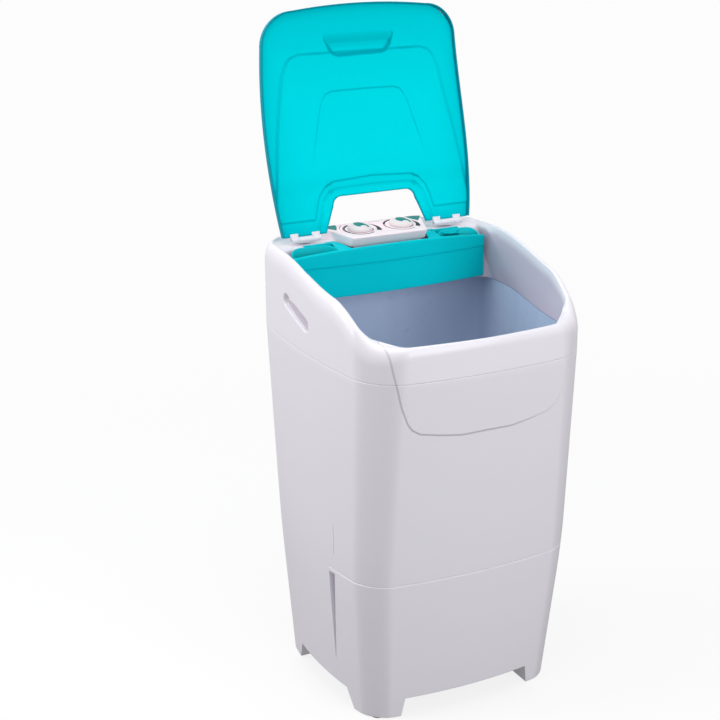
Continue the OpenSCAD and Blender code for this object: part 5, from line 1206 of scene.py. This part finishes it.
def printed_arc(tree, x, y, mark):
    """Mask of one printed arc, whose width runs from its first angle to its last."""
    middle, radius, half, low, high = mark
    dx = minus(tree, x, middle[0] * MM)
    dy = minus(tree, y, middle[1] * MM)
    away = distance(tree, dx, dy)
    angle = maths(tree, "ARCTAN2", dy, dx)
    if low < -180:
        above = maths(tree, "GREATER_THAN", angle, 0.0)
        angle = minus(tree, angle, times(tree, above, 2 * math.pi))
    low_end, high_end, fade = math.radians(low), math.radians(high), math.radians(3)
    grow = ranged(tree, angle, low_end, high_end, half[0] * MM, half[1] * MM, "LINEAR")
    band = minus(tree, maths(tree, "ABSOLUTE", minus(tree, away, radius * MM)), grow)
    line = ranged(tree, band, 0.0, 0.0003, 1.0, 0.0, "LINEAR")
    first = ranged(tree, angle, low_end, low_end + fade, 0.0, 1.0, "LINEAR")
    last = ranged(tree, angle, high_end - fade, high_end, 1.0, 0.0, "LINEAR")
    return times(tree, times(tree, line, first), last)


def panel_material():
    """White face of the controls with printed arcs and corner patches, drawn from Object coordinates."""
    colours = bpy.context.scene.washer_colours

    def tint(tree, result):
        """Marks and patches on the face only."""
        x, y, z = place_xyz(tree)
        up = ranged(tree, z, 0.9135, 0.9145, 0.0, 1.0, "LINEAR")
        for *mark, ink, strength in MARKS:
            mask = times(tree, printed_arc(tree, x, y, mark), up)
            result = mixed(tree, times(tree, mask, strength), result, ink(colours))
        outward = maths(tree, "ABSOLUTE", x)
        mask = up
        for (x0, y0), (x1, y1) in zip(PATCH, PATCH[1:] + PATCH[:1]):
            side = minus(tree, times(tree, minus(tree, y, y0 * MM), x1 - x0),
                         times(tree, minus(tree, outward, x0 * MM), y1 - y0))
            mask = times(tree, mask, ranged(tree, side, -0.004, 0.004, 0.0, 1.0, "LINEAR"))
        return mixed(tree, mask, result, tuple(colours.mark))

    return finish("panel_face", (0.88, 0.75, 0.79), rough=0.5, tone=0.01, depth=0.00002, tint=tint,
                  shine=0.15)


def ink_dark(colours):
    """Near black of the thick marks."""
    return tuple(colours.ink)


def ink_grey(colours):
    """Grey of the thin lines."""
    return tuple(mix(np.array(colours.ink), np.array(colours.white), 0.35))


# Printed arcs: centre, radius, half width at each end, first and last angle, ink and strength
MARKS = (
    ((-47, 168), 33, (2.8, 2.2), -262, -150, ink_dark, 1.0),
    ((-47, 168), 33.5, (2.1, 1.3), -150, -52, ink_dark, 1.0),
    ((-50, 172), 28.5, (0.8, 0.8), -235, -175, ink_grey, 0.8),
    ((-47, 172), 40, (1.1, 0.7), -232, -190, ink_grey, 1.0),
    ((-46, 168), 27.2, (0.8, 1.2), -62, -8, ink_dark, 0.9),
    ((-48, 170), 43, (5.4, 0.9), -32, 34, ink_dark, 1.0),
    ((49, 168), 35, (2.6, 2.0), -262, -195, ink_dark, 1.0),
    ((49, 168), 36, (1.8, 1.1), -195, -60, ink_dark, 0.8),
    ((47, 168), 27.4, (0.8, 1.3), -70, -10, ink_dark, 0.8),
    ((42, 170), 44, (5.2, 0.9), -38, 26, ink_dark, 1.0),
    ((6, 120), 95, (0.9, 0.9), 74, 100, ink_grey, 0.9),
    ((6, 132), 72, (0.7, 0.7), 76, 104, ink_grey, 0.6),
)
# Teal patch in the panel's rear right corner, anticlockwise; the left one is its mirror image
PATCH = ((92, 172), (115, 203), (100, 211), (78, 212), (86, 196))


def build_panel(s):
    """Control panel: rounded trapezoid with leaning sides, a rounded edge and a flat face."""
    table = ring_table(10, 30, 16, 30)
    front_x, back_x = s["panel_front_x"], s["panel_back_x"]
    base_reach, reach, soft = 38.0, 48.0, 2.5

    def outline(inset, front):
        """Outline of the panel with its front at a reach, set in along its normal."""
        x, y = corner_ring(table, back_x, reach, 6.0, front_x, -front, 6.0)
        nx, ny = inward(x[0], y[0])
        return x[0] + inset * nx, y[0] + inset * ny

    x, y = outline(0.0, base_reach)
    base_z = mix(899.2, 904.2, (y + base_reach) / (base_reach + reach))
    base = np.stack([x, s["panel_y"] + y, base_z], axis=-1)
    x, y = outline(0.0, reach)
    edge = panel_world(x, y, -soft, s)
    rows = [base] + [mix(base, edge, k) for k in np.linspace(0, 1, 7)[1:]]
    for a in np.radians(np.linspace(15, 90, 6)):
        x, y = outline(soft * (1 - math.cos(a)), reach)
        rows.append(panel_world(x, y, -soft + soft * math.sin(a), s))
    for k in (0.93, 0.8, 0.6, 0.4, 0.2):
        rows.append(panel_world(x * k, y * k, 0.0, s))
    piece = rings_piece("panel_shell", with_poles(rows), "body", panel_material(), "white_plastic", sharp=50)
    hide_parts("control_panel")


def build_knobs(s):
    """Two knobs, each a turned profile with a soft top, and a comma-shaped pointer lying on it."""
    colours = bpy.context.scene.washer_colours
    white = finish("knob_white", (0.74, 0.68, 0.70), rough=0.5, tone=0.01, depth=0.00002, shine=0.2)
    mark = finish("pointer_teal", colours.mark, rough=0.5, tone=0.03, depth=0.00002, shine=0.1)
    r = s["knob_d"] / 2
    lower = [(0.4, 0), (r - 1, 0), (r, 0.8), (r, 5)]
    upper = [(r - 1.6, 7.8), (r - 7, 10.4), (r - 13, 11.3), (0.5, 11.8)]
    chain = [np.array([(away, height, 0)]) for away, height in lower + upper]
    profile = np.array(rounded(chain, [0, 0.8, 0.7, 1.5, 2.0, 4.0, 5.0, 0]))[:, 0, :2]
    a = np.radians(np.arange(0, 360, 3.75))
    for name, body, x0, node in (("timer", "timer_dial", -s["knob_x"], "timer_knob"),
                                 ("program", "program_dial", s["knob_x"], "program_knob")):
        rows = [panel_world(x0 + p[0] * np.cos(a), p[0] * np.sin(a), 0.6 + p[1] + 0 * a, s) for p in profile]
        piece = rings_piece(name + "_knob_body", with_poles(rows), body, white, "white_plastic")
        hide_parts(node)
        build_pointer(s, name + "_pointer", body, x0, mark, profile[profile[:, 1] > 3][::-1])


def build_pointer(s, name, body, x0, material, profile):
    """Comma-shaped pointer: a section swept along a bent line, wide at its head and thin at its tail."""
    head, tail = 13.5, 2.4
    t = np.linspace(0, 1, 60)
    px = x0 + mix(-12.5, 9, np.minimum(t / 0.65, 1)) + 4 * smooth((t - 0.5) / 0.5)
    py = -1 - 17 * smooth((t - 0.3) / 0.7)
    half = np.where(t < 0.3, head * np.sqrt(np.maximum(0, 1 - ((0.3 - t) / 0.3) ** 2)) + 0.05,
                    mix(head, tail, smooth((t - 0.3) / 0.4)))
    half *= np.sqrt(np.clip((1.0 - t) / 0.06, 0, 1)) + 0.01
    tangent = np.gradient(np.stack([px, py], axis=-1), axis=0)
    tangent /= np.linalg.norm(tangent, axis=1, keepdims=True)
    a = np.radians(np.arange(0, 360, 15))
    across = half[:, None] * squared(np.cos(a), 0.7)
    u = px[:, None] - tangent[:, 1:] * across
    v = py[:, None] + tangent[:, :1] * across
    away = np.hypot(u - x0, v)
    top = np.interp(away, profile[:, 0], profile[:, 1]) + 0.6
    rows = panel_world(u, v, top + 0.7 * squared(np.sin(a), 0.7), s)
    rings_piece(name, with_poles(rows), body, material, "teal_plastic", sharp=60)


# Base colour and options of the finishes of the CAD pieces that stay visible
FINISHES = {
    "steel": ((0.62, 0.63, 0.66), dict(rough=0.28, metallic=1.0, tone=0.05)),
    "bronze": ((0.55, 0.38, 0.20), dict(rough=0.4, metallic=1.0, tone=0.08)),
    "cast_aluminium": ((0.60, 0.61, 0.63), dict(rough=0.5, metallic=0.9, tone=0.08, depth=0.0001)),
    "rubber": ((0.025, 0.025, 0.028), dict(rough=0.75, tone=0.15, depth=0.00006)),
    "dark_plastic": ((0.035, 0.037, 0.042), dict(rough=0.5, tone=0.1)),
    "beige_plastic": ((0.55, 0.50, 0.40), dict(rough=0.45, tone=0.05)),
    "stator_core": ((0.35, 0.16, 0.07), dict(rough=0.45, tone=0.2, middle=300.0)),
    "motor_paint": ((0.07, 0.075, 0.085), dict(rough=0.42, tone=0.1, coat=0.2)),
    "net": ((0.72, 0.76, 0.80), dict(rough=0.6, tone=0.04)),
    "pulsator_plastic": ((0.62, 0.66, 0.74), dict(rough=0.35, tone=0.03, coat=0.1)),
}


# CAD nodes that a piece of this scene takes the place of
REPLACED = {"cabinet", "collar", "tub", "lid", "control_panel", "timer_knob", "program_knob"}


def build_carried(s):
    """Finishes for the CAD pieces that are shown as they are, by the record's slots; white for the others."""
    made = {"teal_plastic": teal_finish(), "teal_clear": teal_finish()}
    for node, obj in frame["nodes"].items():
        if node in REPLACED:
            continue
        kind = slot_of(node)
        if kind in FINISHES and kind not in made:
            base, options = FINISHES[kind]
            made[kind] = finish(kind, base, **options)
        obj.data.materials.clear()
        obj.data.materials.append(made.get(kind) or plain_white())


def slot_of(node):
    """Material slot that the record gives a node."""
    return next(entry["material_slot"] for entry in frame["record"]["subparts"] if entry["node"] == node)


# Studio

# Strength of the plain backdrop as the camera sees it, and as other rays do
BACKDROP = 0.976
BACKDROP_LIGHT = 0.6
# Glow of the floor near the machine for every ray, and what it adds for the camera
FLOOR_GLOW = 0.30
FLOOR_GLOW_SEEN = 0.53
# Lights: name, place, size in metres and watts
LIGHTS = (
    ("key", (-3.0, 1.2, 2.4), 2.2, 62),
    ("fill", (0.7, -3.3, 1.6), 2.0, 42),
    ("top", (-0.4, -0.3, 3.4), 2.6, 36),
)


def build_stage(s):
    """White studio: floor that keeps a soft shadow, plain backdrop, three soft lights and the camera."""
    build_floor()
    build_sky()
    for name, place, size, power in LIGHTS:
        light = bpy.data.lights.new(name, "AREA")
        light.shape = "SQUARE"
        light.size = size
        light.energy = power
        lamp = bpy.data.objects.new(name, light)
        lamp.location = place
        lamp.rotation_euler = (Vector((0, 0, 0.7)) - Vector(place)).to_track_quat("-Z", "Y").to_euler()
        bpy.context.scene.collection.objects.link(lamp)
    build_camera()


def backdrop_strength(tree, seen):
    """Strength of the backdrop: its own where seen is 1, and its light's where seen is 0."""
    return maths(tree, "MULTIPLY_ADD", seen, BACKDROP - BACKDROP_LIGHT, BACKDROP_LIGHT)


def build_floor():
    """Floor: matt with a glow near the machine, and plain backdrop farther away."""
    scene = bpy.context.scene
    count, reach = 19, 9
    line = np.linspace(-reach, reach, count)
    grid = np.stack(np.meshgrid(line, line, indexing="xy"), axis=-1)
    points = np.concatenate([grid, np.zeros(grid.shape[:2] + (1,))], axis=-1).reshape(-1, 3)
    mesh = bpy.data.meshes.new("studio_floor")
    mesh.from_pydata(points.tolist(), [], grid_faces(count, count, wrap_columns=False).tolist())
    floor = bpy.data.objects.new("studio_floor", mesh)
    scene.collection.objects.link(floor)
    material = bpy.data.materials.new("studio_floor")
    material.use_nodes = True
    tree = material.node_tree
    tree.nodes.clear()
    out = tree.nodes.new("ShaderNodeOutputMaterial")
    add = tree.nodes.new("ShaderNodeAddShader")
    far = tree.nodes.new("ShaderNodeMixShader")
    matt = tree.nodes.new("ShaderNodeBsdfDiffuse")
    matt.inputs["Color"].default_value = (0.14, 0.14, 0.142, 1)
    path = tree.nodes.new("ShaderNodeLightPath")
    seen = path.outputs["Is Camera Ray"]
    glow = tree.nodes.new("ShaderNodeEmission")
    tree.links.new(maths(tree, "MULTIPLY_ADD", seen, FLOOR_GLOW_SEEN, FLOOR_GLOW), glow.inputs["Strength"])
    plain = tree.nodes.new("ShaderNodeEmission")
    tree.links.new(backdrop_strength(tree, seen), plain.inputs["Strength"])
    x, y, _ = place_xyz(tree)
    tree.links.new(ranged(tree, distance(tree, x, y), 0.7, 2.4), far.inputs[0])
    tree.links.new(matt.outputs[0], add.inputs[0])
    tree.links.new(glow.outputs[0], add.inputs[1])
    tree.links.new(add.outputs[0], far.inputs[1])
    tree.links.new(plain.outputs[0], far.inputs[2])
    tree.links.new(far.outputs[0], out.inputs["Surface"])
    mesh.materials.append(material)


def build_sky():
    """World of the plain backdrop."""
    world = bpy.data.worlds.new("studio")
    world.use_nodes = True
    bpy.context.scene.world = world
    tree = world.node_tree
    sky = tree.nodes["Background"]
    sky.inputs["Color"].default_value = (1.0, 1.0, 1.0, 1)
    path = tree.nodes.new("ShaderNodeLightPath")
    seen = maths(tree, "MAXIMUM", path.outputs["Is Camera Ray"],
                 maths(tree, "MAXIMUM", path.outputs["Is Glossy Ray"], path.outputs["Is Transmission Ray"]))
    tree.links.new(backdrop_strength(tree, seen), sky.inputs["Strength"])


def build_camera():
    """Camera fitted to the photo's feet, seams and collar."""
    scene = bpy.context.scene
    camera = bpy.data.objects.new("camera", bpy.data.cameras.new("camera"))
    camera.data.lens = 81.8
    camera.data.sensor_width = 36
    camera.data.shift_x = -0.0471
    camera.data.shift_y = -0.0036
    camera.location = (-1.5272, -2.7820, 1.7315)
    aim = Vector((-0.0247, 0.0582, 0.6720)) - camera.location
    camera.rotation_euler = aim.to_track_quat("-Z", "Y").to_euler()
    scene.collection.objects.link(camera)
    scene.camera = camera
    scene.view_settings.view_transform = "Standard"


# Operators and panel


def operator(name, label, words, builder):
    """Makes one operator class that runs a builder with the driving sizes."""

    def execute(self, context):
        builder(sizes())
        return {"FINISHED"}

    return type("WASHER_OT_" + name, (bpy.types.Operator,),
                {"bl_idname": "washer." + name, "bl_label": label, "__doc__": words, "execute": execute})


OPERATORS = [
    operator("cabinet", "Cabinet shell", "Builds the cabinet's shell", build_cabinet),
    operator("feet", "Legs", "Builds the four legs", build_feet),
    operator("collar", "Collar", "Builds the collar round the mouth", build_collar),
    operator("tub", "Tub", "Builds the wash tub", build_tub),
    operator("lid", "Lid", "Builds the lid with its rim and knuckles", build_lid),
    operator("tray", "Dispenser tray", "Builds the tray's front, pockets and wings", build_tray),
    operator("panel", "Control panel", "Builds the control panel", build_panel),
    operator("knobs", "Knobs", "Builds both knobs and their pointers", build_knobs),
    operator("carried", "Carried pieces", "Gives the visible CAD pieces their finishes", build_carried),
    operator("stage", "Studio", "Builds the floor, lights and camera", build_stage),
]


class WASHER_PT_pieces(bpy.types.Panel):
    """Buttons for the washing machine's pieces."""

    bl_label = "Washing machine"
    bl_idname = "WASHER_PT_pieces"
    bl_space_type = "VIEW_3D"
    bl_region_type = "UI"
    bl_category = "Washer"

    def draw(self, context):
        for item in OPERATORS:
            self.layout.operator(item.bl_idname)


CLASSES = [WasherSizes, WasherColours, *OPERATORS, WASHER_PT_pieces]


def register():
    """Registers the classes and hangs the two groups on the scene."""
    for item in CLASSES:
        bpy.utils.register_class(item)
    bpy.types.Scene.washer_sizes = PointerProperty(type=WasherSizes)
    bpy.types.Scene.washer_colours = PointerProperty(type=WasherColours)


def unregister():
    """Takes the groups and the classes away again."""
    del bpy.types.Scene.washer_colours
    del bpy.types.Scene.washer_sizes
    for item in reversed(CLASSES):
        bpy.utils.unregister_class(item)


def main():
    """Builds every piece in order and writes how the box compares with the CAD's."""
    register()
    for item in OPERATORS:
        group, name = item.bl_idname.split(".")
        getattr(getattr(bpy.ops, group), name)()


if __name__ == "__main__":
    main()
